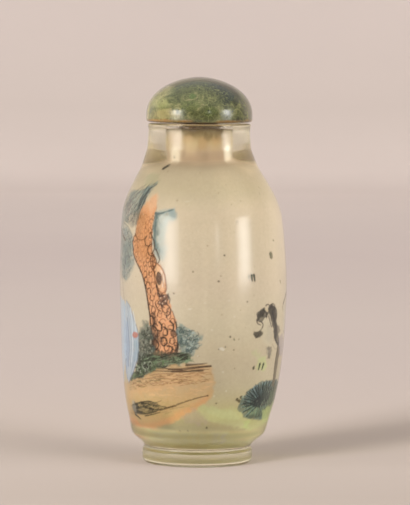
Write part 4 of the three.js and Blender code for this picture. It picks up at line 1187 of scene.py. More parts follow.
dot((100, 84, 60), 0.7360000000000001, 0.07800000000000001, (3.09, 35.77))
dot((130, 108, 76), 0.644, 0.07800000000000001, (5.96, 48.47))
dot((130, 108, 76), 0.644, 0.07800000000000001, (3.71, 50.44))
dot((140, 118, 80), 0.46, 0.0936, (27.51, 52.77))
dot((120, 96, 60), 0.552, 0.07800000000000001, (-0.07, 53.74))
wash((222, 212, 192), 0.75, 0.2, 0.4, 0.2,
     [(2.92, 22.63), (3.45, 22.86), (4.09, 22.59), (3.75, 22.16), (3.11, 22.21)])
wash((222, 208, 182), 0.7, 0.18, 0.3, 0.1,
     [(-2.72, 29.78), (-2.28, 29.97), (-1.76, 29.8), (-2.19, 29.54)])
wash((226, 210, 180), 0.6, 0.15, 0.3, 0.1,
     [(-3.41, 49.03), (-2.72, 49.11), (-1.92, 49.02), (-2.6, 48.85)])
dot((222, 208, 182), 0.4, 0.14, (5.55, 28.38))
dot((222, 208, 182), 0.4, 0.14, (1.57, 26.03))
dot((222, 208, 182), 0.4, 0.14, (-0.7, 27.1))
dot((222, 208, 182), 0.4, 0.14, (4.5, 31.34))
dot((222, 208, 182), 0.4, 0.14, (0.3, 30.92))
dot((222, 208, 182), 0.4, 0.14, (6.16, 34.09))
dot((222, 208, 182), 0.4, 0.14, (2.55, 13.92))
dot((222, 208, 182), 0.4, 0.14, (4.8, 14.81))
dot((222, 208, 182), 0.4, 0.14, (-0.75, 21.25))
dot((222, 208, 182), 0.4, 0.14, (3.88, 18.31))
wash((170, 182, 190), 0.92, 0.35, 0.3, 0.2,
     [(-17.05, 30.61), (-15.9, 29.96), (-15.02, 28.73), (-14.31, 27.12), (-13.44, 25.91), (-12.9, 23.92), (-13.03, 21.69), (-13.53, 19.79), (-14.69, 17.68), (-17.17, 15.43), (-18.06, 16.07), (-18.57, 18.92), (-18.78, 22.43), (-18.44, 26.38), (-17.99, 29.04)])
wash((142, 166, 168), 0.6, 0.5, 0.3, 0.3,
     [(-14.32, 23.42), (-13.07, 24.09), (-13.03, 21.69), (-13.52, 19.98), (-14.35, 19.35)])
wash((150, 168, 190), 0.6, 0.5, 0.3, 0.3,
     [(-17.32, 26.86), (-16.21, 26.59), (-15.8, 22.36), (-16.54, 18.4), (-17.75, 17.2), (-18.01, 20.84)])
stroke((96, 108, 128), 0.85, (0.1, 0.14),
       [(-17.06, 30.51), (-15.75, 29.79), (-14.85, 28.56), (-14.22, 27.13), (-13.38, 25.92), (-12.85, 23.92), (-13.04, 21.5), (-13.6, 19.6), (-15.1, 17.28), (-17.38, 15.22)])
stroke((96, 108, 128), 0.85, (0.12, 0.14),
       [(-17.88, 29.98), (-18.3, 26.77), (-18.36, 22.66), (-18.07, 18.97), (-17.6, 15.75)])
stroke((96, 108, 128), 0.85, (0.07, 0.09),
       [(-16.52, 29.54), (-15.81, 26.62), (-15.22, 22.6), (-15.9, 18.47)])
stroke((96, 108, 128), 0.85, (0.07, 0.07),
       [(-15.22, 27.79), (-14.48, 24.52), (-14.28, 21.2), (-15.4, 17.79)])
stroke((96, 108, 128), 0.85, (0.07, 0.07),
       [(-17.36, 25.92), (-16.86, 22.25), (-16.98, 18.54)])
stroke((84, 92, 112), 0.75, (0.2, 0.14),
       [(-16.65, 27.29), (-16.19, 23.99), (-16.21, 21.02), (-16.82, 18.38)])
stroke((206, 212, 214), 0.75, (0.2, 0.14),
       [(-14.45, 28.59), (-13.74, 26.07), (-13.45, 23.13), (-13.95, 20.12)])
stroke((210, 216, 220), 0.75, (0.2, 0.14),
       [(-15.32, 29.26), (-14.77, 25.98), (-14.77, 22.27), (-15.46, 19.24)])
stroke((88, 88, 96), 0.75, (0.2, 0.14),
       [(-18.18, 26.78), (-17.75, 23.09), (-17.57, 19.4)])
stroke((126, 142, 160), 0.75, (0.2, 0.14),
       [(-13.71, 24.59), (-13.54, 22.38), (-14.23, 19.73), (-15.92, 17.02)])
stroke((84, 84, 84), 0.8, (0.09, 0.09),
       [(-18.79, 34.87), (-18.55, 32.7), (-17.87, 30.17)])
wash((184, 104, 78), 0.95, 0.22, 0.2, 0.1,
     [(-14.82, 24.49), (-14.27, 24.95), (-13.34, 24.99), (-12.94, 24.55), (-13.37, 23.95), (-14.24, 23.8), (-14.76, 24.12)])
stroke((150, 80, 62), 0.7, (0.08, 0.08),
       [(-14.62, 24.23), (-13.83, 23.8), (-13.07, 24.18)])

# the rest of the two pictures, round the sides and the back: the scholar's other
# side and head, his rock and a second pine bough; the ox's body, a willow and a bank
wash((178, 194, 206), 0.92, 0.35, 0.3, 0.3,
     [(-17.6, 30.4), (-21.2, 31.2), (-24.2, 31.6), (-27.0, 30.6), (-29.0, 26.0), (-29.8, 20.0), (-29.6, 15.6), (-25.6, 14.6), (-21.2, 14.6), (-17.6, 20.0)])
wash((150, 168, 190), 0.6, 0.5, 0.3, 0.3, [(-25.2, 29.0), (-27.2, 28.0), (-28.6, 22.0), (-28.0, 16.2), (-26.0, 16.4), (-25.8, 23.0)])
for pts in ([(-21.2, 31.2), (-24.2, 31.7), (-27.0, 30.6), (-29.0, 26.0), (-29.9, 20.0), (-29.6, 15.5), (-25.6, 14.5), (-21.2, 14.6)],
            [(-23.6, 31.4), (-23.0, 27.0), (-24.0, 22.0), (-23.4, 15.2)], [(-26.6, 30.4), (-25.4, 26.6), (-27.2, 21.4), (-26.6, 15.4)],
            [(-28.0, 27.8), (-30.2, 25.4), (-30.6, 23.4), (-28.2, 23.8)]):
    stroke((96, 108, 128), 0.85, (0.12, 0.10), pts)
wash((226, 190, 158), 0.95, 0.2, 0.1, 0.1, [(-22.8, 32.0), (-22.2, 33.6), (-22.8, 35.2), (-24.4, 35.6), (-25.6, 34.4), (-25.4, 32.6), (-24.2, 31.6)])
wash((40, 38, 38), 0.95, 0.2, 0.2, 0.1, [(-22.4, 34.6), (-23.0, 36.2), (-24.4, 37.2), (-26.0, 36.4), (-26.4, 34.4), (-25.4, 33.8), (-24.2, 35.2)])
stroke((70, 48, 40), 0.8, (0.08, 0.06), [(-22.9, 32.1), (-22.2, 33.5), (-22.7, 35.0)])
wash((204, 112, 84), 0.95, 0.2, 0.2, 0.1, [(-26.6, 24.6), (-29.4, 24.2), (-29.5, 22.8), (-26.8, 23.0)])
wash((201, 160, 108), 0.88, 0.6, 0.35, 0.4,
     [(-17.6, 15.4), (-24.0, 15.2), (-31.0, 16.4), (-37.0, 15.0), (-40.0, 13.0), (-40.6, 10.4), (-34.0, 8.6), (-26.0, 7.9), (-17.0, 7.6)])
wash((217, 150, 98), 0.7, 0.7, 0.3, 0.3, [(-17.0, 8.6), (-26.0, 9.2), (-34.0, 10.0), (-40.4, 12.0), (-40.6, 10.4), (-34.0, 8.4), (-26.0, 7.7), (-17.0, 7.5)])
wash((92, 104, 78), 0.85, 0.5, 0.7, 0.5, [(-24.0, 15.0), (-28.0, 17.6), (-33.0, 18.4), (-38.0, 16.4), (-38.6, 14.6), (-33.0, 15.4), (-28.0, 15.0)])
blades([(-24.0, 15.6), (-29.0, 17.0), (-34.0, 17.4), (-38.4, 15.6)], 60, (44, 50, 34), 0.75, 41)
wash((150, 158, 160), 0.8, 0.4, 0.5, 0.4, [(-29.0, 16.0), (-30.0, 20.6), (-32.4, 23.4), (-35.4, 22.0), (-36.8, 17.6), (-34.6, 15.4)])
for pts, w in (([(-29.0, 16.0), (-30.0, 20.6), (-32.4, 23.5), (-35.5, 22.0), (-36.9, 17.6)], (0.18, 0.24)),
               ([(-31.4, 22.2), (-31.8, 19.0), (-33.6, 17.0)], (0.14, 0.08)), ([(-34.0, 22.4), (-33.4, 20.2), (-34.6, 18.4)], (0.12, 0.08))):
    stroke((62, 60, 54), 0.9, w, pts)
wash((116, 134, 128), 0.85, 0.6, 0.55, 0.5, [(-20.0, 46.0), (-24.0, 49.6), (-29.0, 50.0), (-33.0, 47.4), (-34.4, 43.6), (-31.0, 41.6), (-26.0, 42.6), (-22.0, 41.4), (-20.4, 43.6)])
wash((126, 141, 134), 0.8, 0.6, 0.6, 0.5, [(-20.4, 40.4), (-24.6, 41.0), (-28.6, 39.4), (-28.0, 36.4), (-24.4, 36.6), (-21.2, 37.4)])
stroke((84, 58, 42), 0.9, (0.34, 0.12), [(-18.0, 41.6), (-22.0, 43.6), (-27.0, 44.6), (-32.6, 44.0)])
stroke((84, 58, 42), 0.9, (0.22, 0.08), [(-23.6, 44.0), (-26.4, 47.0), (-29.8, 48.2)])
needle = np.random.default_rng(51)
for cu, cv in ((-22.4, 46.4), (-25.8, 47.8), (-29.4, 48.2), (-32.2, 45.6), (-28.6, 43.8), (-24.8, 42.8), (-23.6, 39.0), (-26.6, 38.4)):
    for k in range(13):
        a = math.pi * (k + needle.uniform(0.1, 0.9)) / 13
        s = needle.uniform(1.0, 1.6)
        stroke((58, 68, 66), 0.6, (0.09, 0.05), [(cu, cv), (cu + s * math.cos(a), cv + s * math.sin(a))], 0.05)
# right side
wash((190, 178, 154), 0.7, 0.6, 0.4, 0.4, [(19.0, 29.6), (20.8, 31.6), (25.0, 32.6), (30.0, 32.0), (32.6, 29.6), (32.4, 25.4), (28.6, 23.6), (23.6, 23.4), (20.0, 24.8)])
wash((96, 90, 80), 0.6, 0.8, 0.5, 0.5, [(21.0, 31.6), (25.0, 32.6), (30.0, 32.0), (32.4, 29.8), (30.4, 29.4), (26.0, 30.4), (22.0, 30.0)])
for pts, w in (([(18.6, 30.0), (21.0, 31.8), (25.0, 32.7), (30.0, 32.1), (32.7, 29.6), (32.6, 25.0)], (0.30, 0.20)),
               ([(32.7, 29.6), (34.2, 27.0), (33.8, 22.0)], (0.26, 0.10)), ([(20.0, 24.8), (23.6, 23.3), (28.6, 23.5), (31.4, 24.4)], (0.18, 0.14)),
               ([(21.4, 24.6), (21.8, 20.4), (21.2, 16.6), (22.0, 15.6)], (0.42, 0.26)), ([(24.2, 23.6), (24.0, 19.4), (24.8, 16.0)], (0.34, 0.22)),
               ([(29.6, 24.0), (30.4, 20.2), (29.6, 16.6), (30.4, 15.6)], (0.44, 0.26)), ([(32.2, 25.4), (32.8, 20.6), (32.4, 16.4)], (0.36, 0.22))):
    stroke((52, 50, 46), 0.92, w, pts)
wash((92, 104, 78), 0.8, 0.6, 0.7, 0.5, [(16.6, 13.6), (20.6, 15.8), (28.0, 16.2), (35.0, 15.2), (39.0, 13.2), (38.0, 11.4), (30.0, 12.4), (22.0, 12.0), (17.0, 11.6)])
wash((176, 184, 118), 0.7, 0.7, 0.3, 0.4, [(15.0, 10.6), (20.0, 11.8), (30.0, 12.2), (38.6, 11.2), (38.0, 9.0), (28.0, 8.2), (18.0, 8.2)])
blades([(18.0, 14.2), (24.0, 15.8), (31.0, 15.6), (38.0, 13.4)], 80, (44, 50, 34), 0.75, 43)
bark([(35.2, 14.0), (35.6, 26.0), (34.6, 38.0), (35.8, 47.0)], [(38.2, 14.0), (37.8, 26.0), (36.6, 38.0), (36.6, 47.0)], 9, (70, 58, 46), 0.8)
stroke((86, 72, 54), 0.9, (0.3, 0.16), [(35.2, 14.0), (35.6, 26.0), (34.6, 38.0), (35.8, 47.0)])
stroke((86, 72, 54), 0.9, (0.3, 0.16), [(38.2, 14.0), (37.8, 26.0), (36.6, 38.0), (36.6, 47.0)])
for k in range(46):
    u0, v0 = needle.uniform(24.5, 44.5), needle.uniform(43.0, 49.5)
    drop, sway = needle.uniform(5, 12), needle.uniform(-0.8, 0.8)
    stroke((104, 122, 84), 0.6, (0.11, 0.06), [(u0, v0), (u0 + sway * 0.3, v0 - drop * 0.5), (u0 + sway, v0 - drop)])
    for q in range(6):
        f = needle.uniform(0.2, 1)
        stroke((88, 110, 78), 0.65, (0.14, 0.05), [(u0 + sway * f, v0 - drop * f), (u0 + sway * f + needle.choice([-1, 1]) * 0.35, v0 - drop * f - 0.6)], 0.05)


# the bore: dark brown washes round its top, the cork's brown with painted shade under the stopper; orange-brown stains
# below them
for k in range(26):
    u = rng.uniform(-HALF_TURN, HALF_TURN)
    v = 62.6 - abs(rng.normal(0, 1.3))
    wash((96, 72, 44), rng.uniform(0.25, 0.7), 1.2, 0.4, 0.5,
         [(u - 2.4, v - 0.7), (u + 2.4, v - 0.5), (u + 2.0, v + 0.6), (u - 2.2, v + 0.7)])
for u, v, w, h in ((1.5, 59.7, 2.6, 1.5), (-5.5, 60.4, 3.2, 1.2), (-12, 60.1, 2.6, 1.0), (9, 60.2, 3.0, 1.0), (22, 60.0, 4, 1.2), (-30, 60.3, 4, 1.1)):
    wash((192, 148, 102), 0.5, 1.0, 0.5, 0.5, [(u - w, v - h / 2), (u, v - h), (u + w, v - h / 3), (u + w * 0.8, v + h / 2), (u - w * 0.7, v + h / 2)])

# the bore's wall: paler bands down its sides are painted highlights, standing in for the reflections inside the glass
# at the bore's wall; weaker towards the top, with a tan patch in front and paler far sides
wash((226, 200, 166), 0.6, 2.0, 0.1, 0.2, [(-17.5, 55.4), (-9.4, 55.6), (-8.6, 58.4), (-9.6, 60.4), (-16.0, 60.4), (-18.2, 58.4)])
wash((248, 228, 198), 0.8, 1.4, 0.1, 0.2, [(-15.5, 55.4), (-10.6, 55.5), (-10.2, 57.4), (-11.4, 58.2), (-14.6, 58.2), (-16.2, 57.0)])
wash((248, 228, 198), 0.85, 1.3, 0.1, 0.2, [(13.4, 56.0), (18.6, 55.8), (20.0, 57.6), (18.8, 59.4), (14.2, 59.4), (13.2, 57.8)])
wash((232, 208, 176), 0.5, 1.8, 0.1, 0.2, [(13.6, 55.6), (20.6, 55.4), (21.0, 58.6), (19.0, 60.4), (14.0, 60.2)])
wash((255, 240, 214), 0.8, 1.0, 0.1, 0.2, [(14.4, 56.4), (17.8, 56.4), (18.4, 58.0), (17.0, 59.0), (14.6, 58.8)])
wash((218, 186, 144), 0.55, 1.8, 0.1, 0.3, [(-6.8, 56.8), (-1.6, 57.2), (-0.8, 60.0), (-6.2, 60.6)])
wash((214, 190, 160), 0.8, 1.4, 0.2, 0.4, [(-19, 59.6), (-10, 59.8), (-8.6, 61.4), (-9.4, 62.9), (-19, 62.9)])
wash((210, 185, 151), 0.75, 1.4, 0.2, 0.4, [(13, 59.6), (20, 59.4), (20, 62.8), (13.5, 62.8), (12.0, 61.2)])
wash((250, 232, 204), 0.6, 0.8, 0.1, 0.2, [(13.2, 55.3), (17.0, 55.3), (17.4, 56.6), (13.4, 56.6)])
wash((198, 166, 134), 0.75, 1.4, 0.1, 0.2, [(-18.4, 59.0), (-8.6, 59.0), (-8.6, 61.6), (-18.4, 61.6)])
wash((196, 166, 134), 0.6, 1.4, 0.1, 0.2, [(12.6, 59.2), (20.4, 59.2), (20.4, 61.6), (12.6, 61.6)])
dot((52, 44, 32), 0.95, 0.2, (-13.7, 56.3))
side = smoothstep(np.abs(U), 19.0, 22.0)[None, :] * smoothstep(V, 55.0, 56.0)[:, None] * (1 - smoothstep(V, 61.2, 62.6))[:, None]
paint[:] = paint * (1 - 0.5 * side[..., None]) + srgb(214, 194, 160) * 0.5 * side[..., None]

# the wash of olive round the floor of the hollow
for u in (-30, -22, 30):
    wash((152, 140, 98), 0.85, 0.9, 0.2, 0.2, [(u - 6, 6.0), (u + 6, 6.0), (u + 6, 7.3), (u, 7.5), (u - 6, 7.6)])

# the ground surface shows through as a fine even grain of pale and brown specks
YY, XX = np.meshgrid(V, U, indexing="ij")
grain = 0.7 * soft_noise(XX, YY, 0.34, 71) + 0.6 * soft_noise(XX, YY, 0.2, 72) + 0.7 * soft_noise(XX, YY, 4.0, 73)
paint *= (1 + 0.042 * grain)[..., None]
r2 = np.random.default_rng(19)
for k in range(210):
    u, v = r2.uniform(-HALF_TURN, HALF_TURN), r2.uniform(8, 53)
    if r2.uniform() < 0.6:
        dot((222, 206, 178), r2.uniform(0.15, 0.4), r2.uniform(0.05, 0.10), (u, v))
    else:
        dot((110, 90, 62), r2.uniform(0.35, 0.8), r2.uniform(0.04, 0.09), (u, v))

# from shown colours to the film's own colour under these lights
GAIN = [(6.0, 3.0), (6.6, 2.95), (7.0, 2.6), (7.6, 1.66), (8.9, 1.13), (10.4, 1.02), (12.2, 0.82), (16.0, 0.755), (30.0, 0.72), (46.0, 0.70),
        (49.5, 0.675), (51.5, 0.725), (54.0, 0.80), (55.4, 0.70), (57.0, 0.70), (58.5, 0.74), (63.0, 0.90)]
BLUE = [(6.0, 1.85), (6.8, 1.6), (8.0, 1.28), (10.0, 1.04), (12.0, 1.09), (16.0, 1.21), (53.0, 1.16), (57.0, 1.24), (63.0, 1.42)]
paint *= stations(GAIN)(V)[:, None, None]
paint[:, :, 2] *= stations(BLUE)(V)[:, None]
paint[:, :, 1] *= 1.045
paint[:, :, 1] *= (1 + 0.05 * (1 - smoothstep(V, 7.0, 9.0)))[:, None]
# painted light: the right side of the film is made paler, more so below the shoulder, standing in for light the lamps
# give that side too weakly
right = smoothstep(U, 0.0, 9.0)[None, :] * (0.08 + 0.10 * smoothstep(V, 44, 50) * (1 - smoothstep(V, 55.0, 56.5)))[:, None]
paint *= (1 + right)[..., None]
low_left = smoothstep(-U, 4.0, 8.0)[None, :] * (smoothstep(V, 7.2, 7.8) * (1 - smoothstep(V, 9.5, 13.5)))[:, None]
paint *= (1 - 0.32 * low_left)[..., None]
# painted light: the upper shoulder is made paler at its sides, standing in for light that reaches it as seen through
# the neck
turn = np.abs(np.degrees(U / WALL))
painted_side_light = (smoothstep(turn, 48, 75) * (1 - smoothstep(turn, 105, 125)))[None, :] * (smoothstep(V, 52.4, 53.6) * (1 - smoothstep(V, 55.6, 56.6)))[:, None]
paint *= (1 + 0.16 * painted_side_light)[..., None]
paint[:, :, 1] *= (1 + 0.07 * smoothstep(V, 56, 60))[:, None]
# painted light: the back of the shoulder is made much paler, a painted glow that shows through the sides of the neck
back = smoothstep(np.abs(np.degrees(U / WALL)), 98, 130)[None, :] * smoothstep(V, 47.0, 51.5)[:, None] * (1 - smoothstep(V, 55.4, 57.0))[:, None]
paint *= (1 + 0.8 * back)[..., None]
paint = np.clip(paint, 0.002, 0.9)


def skin_piece(name, j0, j1):
    """Columns j0..j1 of the net as one mesh, with its colours and its own unwrapping."""
    rows, cols = len(V), j1 - j0 + 1
    a = np.radians(COL_A[j0:j1 + 1])
    v = np.empty((rows, cols, 3))
    v[:, :, 0] = ROW_R[:, None] * np.sin(a) + centre_x(ROW_Z)[:, None]
    v[:, :, 1] = -ROW_R[:, None] * np.cos(a) * depth_ratio(ROW_Z)[:, None]
    v[:, :, 2] = ROW_Z[:, None]
    me = bpy.data.meshes.new(name)
    i, j = np.meshgrid(np.arange(rows - 1), np.arange(cols - 1), indexing="ij")
    k = (i * cols + j).ravel()
    quads = np.stack([k, k + 1, k + cols + 1, k + cols], 1)
    me.vertices.add(rows * cols)
    me.vertices.foreach_set("co", (v.reshape(-1, 3) * MM).ravel())
    me.loops.add(quads.size)
    me.loops.foreach_set("vertex_index", quads.ravel())
    me.polygons.add(len(quads))
    me.polygons.foreach_set("loop_start", np.arange(0, quads.size, 4))
    me.polygons.foreach_set("loop_total", np.full(len(quads), 4))
    me.polygons.foreach_set("use_smooth", np.full(len(quads), True))
    me.update()
    me.validate()
    col = me.color_attributes.new(name="film", type="FLOAT_COLOR", domain="POINT")
    rgba = np.ones((rows * cols, 4))
    rgba[:, :3] = paint[:, j0:j1 + 1].reshape(-1, 3)
    col.data.foreach_set("color", rgba.ravel())
    uv = me.uv_layers.new(name="OFBake")
    s = np.linspace(0, 1, rows)
    uu = (a - a[0]) / (a[-1] - a[0])
    flat = np.stack(np.meshgrid(s, uu, indexing="ij")[::-1], -1).reshape(-1, 2) * 0.996 + 0.002
    uv.data.foreach_set("uv", flat[quads.ravel()].ravel())
    ob = bpy.data.objects.new(name, me)
    bpy.context.scene.collection.objects.link(ob)
    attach(ob, "root")
    return ob


m, nt, out = material("painted_film")
b = nt.nodes.new("ShaderNodeBsdfPrincipled")
b.inputs["Roughness"].default_value = 0.75
b.inputs["Specular IOR Level"].default_value = 0.08
film = nt.nodes.new("ShaderNodeAttribute")
film.attribute_name = "film"
nt.links.new(film.outputs["Color"], b.inputs["Base Color"])
nt.links.new(b.outputs["BSDF"], out.inputs["Surface"])
ends = np.cumsum([0] + COUNTS)
for name, j0, j1 in (("film_back_left", 0, ends[1]), ("film_left", ends[1], ends[2]),
                     ("film_front", ends[2], ends[3]), ("film_right", ends[3], ends[4]),
                     ("film_back_right", ends[4], ends[5])):
    skin_piece(name, int(j0), int(j1)).data.materials.append(m)

# ------------------------------------------------------------------ stopper
def dome_profile():
    rows = [(0, 0)]
    for r in np.linspace(0, DOME_R - DOME_EDGE, 16)[1:-1]:
        rows.append((r, 0))
    rows += arc(DOME_R - DOME_EDGE, DOME_EDGE, DOME_EDGE, -90, -5, 8)
    h = DOME_HI - DOME_LO - DOME_UPRIGHT
    rows += [(DOME_R, z) for z in (0.65, 0.8, 0.95, 1.1)]
    n = 120
    for i in range(n + 1):
        a = math.pi / 2 * i / n
        r = DOME_R * math.cos(a) ** (2 / DOME_TOP) if i < n else 0
        rows.append((r, DOME_UPRIGHT + h * math.sin(a) ** (2 / DOME_SIDE)))
    return [(r, z + DOME_LO) for r, z in rows]


def node(nt, kind, props=(), **inputs):
    """A shader node; inputs are sockets' names (with _ for spaces) and values or sockets."""
    n = nt.nodes.new(kind)
    for k, v in props:
        setattr(n, k, v)
    for k, v in inputs.items():
        key = int(k[2:]) if k.startswith("in") and k[2:].isdigit() else k.replace("_", " ")
        if isinstance(v, bpy.types.NodeSocket):
            nt.links.new(v, n.inputs[key])
        else:
            n.inputs[key].default_value = v
    return n


def mixed(nt, fac, a, b):
    n = nt.nodes.new("ShaderNodeMix")
    n.data_type = "RGBA"
    for sock, v in ((n.inputs[0], fac), (n.inputs[6], a), (n.inputs[7], b)):
        if isinstance(v, bpy.types.NodeSocket):
            nt.links.new(v, sock)
        else:
            sock.default_value = v if not isinstance(v, tuple) or len(v) == 4 else (*v, 1)
    return n.outputs[2]


def band(nt, value, lo, hi, to_lo=0.0, to_hi=1.0):
    n = node(nt, "ShaderNodeMapRange", (("interpolation_type", "SMOOTHSTEP"),), Value=value)
    n.inputs["From Min"].default_value, n.inputs["From Max"].default_value = lo, hi
    n.inputs["To Min"].default_value, n.inputs["To Max"].default_value = to_lo, to_hi
    return n.outputs["Result"]


def noise3(p, size, seed):
    """Smooth value noise from -1 to 1 at points p (mm) over cubes of `size` mm."""
    g = np.random.default_rng(seed).uniform(-1, 1, (24, 24, 24))
    q = p / size + 100.0
    i = np.floor(q).astype(int)
    f = q - i
    f = f * f * (3 - 2 * f)
    total = 0
    for dx in (0, 1):
        for dy in (0, 1):
            for dz in (0, 1):
                w = (f[:, 0] if dx else 1 - f[:, 0]) * (f[:, 1] if dy else 1 - f[:, 1]) * (f[:, 2] if dz else 1 - f[:, 2])
                total = total + w * g[(i[:, 0] + dx) % 24, (i[:, 1] + dy) % 24, (i[:, 2] + dz) % 24]
    return total


dome = revolve("stopper_dome", dome_profile(), 320)
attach(dome, "root")
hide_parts("stopper")

# mottled green stone: broad cloudy zones with darker drifts and paler patches
pts = np.empty(len(dome.data.vertices) * 3)
dome.data.vertices.foreach_get("co", pts)
pts = pts.reshape(-1, 3) / MM - np.array([AXIS_X, 0, DOME_LO])
warp = np.stack([noise3(pts, 2.2, 61), noise3(pts, 2.2, 62), noise3(pts, 2.2, 63)], 1)
p2 = pts + 1.1 * warp
cloud = 0.55 * noise3(p2, 4.2, 64) + 0.3 * noise3(p2, 1.9, 65) + 0.22 * noise3(p2, 0.9, 66)
stone = np.empty((len(pts), 3))
STONE = [(-1.0, (30, 34, 22)), (-0.5, (46, 52, 30)), (-0.2, (64, 68, 42)), (0.05, (84, 88, 54)),
         (0.3, (108, 110, 72)), (0.6, (140, 136, 98)), (1.2, (172, 162, 124))]


def stone_tone(t):
    keys = [k for k, _ in STONE]
    cols = np.array([srgb(*c) for _, c in STONE])
    return np.stack([np.interp(t, keys, cols[:, i]) for i in range(3)], 1)


def drift(x, z, rx, rz, depth, sharp=1.0):
    """How far points lie inside a cloudy patch on the dome's front, around x and z."""
    y = -np.sqrt(np.maximum(0, 1 - (x / DOME_R) ** 2 - (z / 8.6) ** 2)) * DOME_R
    d = np.sqrt(((pts[:, 0] - x) / rx) ** 2 + ((pts[:, 2] - z) / rz) ** 2 + ((pts[:, 1] - y) / (depth)) ** 2)
    d = d + 0.45 * noise3(p2, 0.8, 67) + 0.25 * noise3(p2, 0.4, 68)
    return smoothstep(1.25 - d, 0, 0.5 / sharp)


side = pts[:, 0] / DOME_R
cloud = cloud * 0.85 + 0.10 - 0.36 * smoothstep(side, 0.1, 0.95) + 0.24 * smoothstep(-side, 0.25, 0.9) \
    + 0.10 * smoothstep(3.2 - pts[:, 2], 0, 2.5)
for k in range(3):
    ridge = 1 - np.abs(noise3(p2 + 0.5 * warp, (1.15, 0.62, 0.36)[k], 74 + k))
    cloud += (0.42, 0.34, 0.26)[k] * smoothstep(ridge, 0.80, 0.99) * smoothstep(noise3(pts, 2.3, 78 + k), -0.5, 0.4)
    dark = 1 - np.abs(noise3(p2 + 0.5 * warp, (1.4, 0.7, 0.4)[k], 84 + k))
    cloud -= (0.30, 0.26, 0.2)[k] * smoothstep(dark, 0.86, 0.99) * smoothstep(noise3(pts, 2.1, 88 + k), -0.4, 0.5)
stone[:] = stone_tone(cloud)


def tint(mask, colour):
    stone[:] = stone * (1 - mask[:, None]) + srgb(*colour) * mask[:, None]


tint(0.85 * drift(4.3, 6.6, 2.8, 0.8, 4), (34, 38, 26))
tint(0.85 * drift(6.4, 4.9, 1.7, 1.0, 4), (34, 46, 34))
tint(0.7 * drift(8.4, 3.0, 0.9, 1.6, 4), (52, 58, 40))
tint(0.6 * drift(-3.6, 7.2, 3.4, 0.6, 4), (58, 64, 40))
tint(0.65 * drift(-8.4, 2.2, 1.0, 1.1, 4), (72, 82, 58))
tint(0.55 * drift(2.2, 1.9, 1.3, 1.6, 4), (70, 76, 38))
tint(0.6 * drift(-1.2, 4.9, 0.6, 0.5, 4, 1.5), (70, 100, 46))
tint(0.45 * drift(-1.6, 3.2, 1.7, 0.8, 4), (86, 98, 48))
tint(0.35 * drift(2.2, 2.2, 1.2, 0.9, 4), (76, 92, 44))
tint(0.6 * drift(-6.4, 1.6, 2.6, 0.9, 5), (164, 150, 108))
tint(0.5 * drift(-7.4, 3.8, 1.6, 1.2, 5), (140, 142, 100))
tint(0.55 * drift(9.2, 3.2, 0.8, 2.0, 4), (112, 102, 76))
tint(0.55 * drift(-1.0, 6.2, 2.4, 0.9, 4), (84, 88, 52))
tint(0.5 * drift(2.2, 5.0, 1.6, 1.0, 4), (92, 94, 58))
fl = noise3(pts, 0.33, 69)
tint(0.8 * smoothstep(fl, 0.60, 0.78) * smoothstep(noise3(pts, 2.6, 70), -0.1, 0.5), (34, 38, 24))
rust = smoothstep(0.75 - pts[:, 2] + 0.25 * noise3(pts, 1.3, 71), 0, 0.35)
tint(0.75 * rust * smoothstep(noise3(pts, 2.4, 72), -0.75, 0.1), (150, 104, 52))
tint(0.9 * smoothstep(0.22 - pts[:, 2], 0, 0.15), (74, 52, 30))
deep = smoothstep(pts[:, 0], -7.5, -2.5)
stone *= (1 - 0.24 * deep)[:, None] * (1 - 0.14 * smoothstep(3.0 - pts[:, 2], 0, 2.0))[:, None]
stone[:, 2] *= 0.86
tint(0.5 * drift(4.8, 5.6, 2.2, 1.6, 4), (26, 30, 20))
att = dome.data.color_attributes.new(name="stone", type="FLOAT_COLOR", domain="POINT")
att.data.foreach_set("color", np.concatenate([stone, np.ones((len(stone), 1))], 1).ravel())

m, nt, out = material("green_stone")
geo = node(nt, "ShaderNodeTexCoord")
att = node(nt, "ShaderNodeAttribute", (("attribute_name", "stone"),))
bend = node(nt, "ShaderNodeTexNoise", Vector=geo.outputs["Object"], Scale=620.0, Detail=4.0)
shift = node(nt, "ShaderNodeVectorMath", (("operation", "SCALE"),), in0=bend.outputs["Color"], Scale=0.0022)
where = node(nt, "ShaderNodeVectorMath", in0=geo.outputs["Object"], in1=shift.outputs["Vector"])
cells = node(nt, "ShaderNodeTexVoronoi", (("feature", "DISTANCE_TO_EDGE"),), Vector=where.outputs["Vector"], Scale=900.0)
cells2 = node(nt, "ShaderNodeTexVoronoi", (("feature", "DISTANCE_TO_EDGE"),), Vector=where.outputs["Vector"], Scale=1700.0)
zone = node(nt, "ShaderNodeTexNoise", Vector=geo.outputs["Object"], Scale=330.0, Detail=2.0)
vein = node(nt, "ShaderNodeMath", (("operation", "MULTIPLY"),), in0=band(nt, cells.outputs["Distance"], 0.07, 0.0, 0, 0.34),
            in1=band(nt, zone.outputs["Fac"], 0.42, 0.62))
vein2 = node(nt, "ShaderNodeMath", (("operation", "MULTIPLY"),), in0=band(nt, cells2.outputs["Distance"], 0.10, 0.0, 0, 0.26),
             in1=band(nt, zone.outputs["Fac"], 0.58, 0.38))
colour = mixed(nt, vein.outputs[0], att.outputs["Color"], tuple(srgb(158, 162, 104)))
colour = mixed(nt, vein2.outputs[0], colour, tuple(srgb(146, 150, 98)))
fine = node(nt, "ShaderNodeTexNoise", Vector=geo.outputs["Object"], Scale=2600.0, Detail=4.0)
colour = mixed(nt, band(nt, fine.outputs["Fac"], 0.56, 0.72, 0, 0.55), colour, tuple(srgb(52, 58, 36)))
b = node(nt, "ShaderNodeBsdfPrincipled", Base_Color=colour, Roughness=0.2)
b.inputs["Specular IOR Level"].default_value = 0.65
b.inputs["Coat Weight"].default_value = 0.5
b.inputs["Coat Roughness"].default_value = 0.12
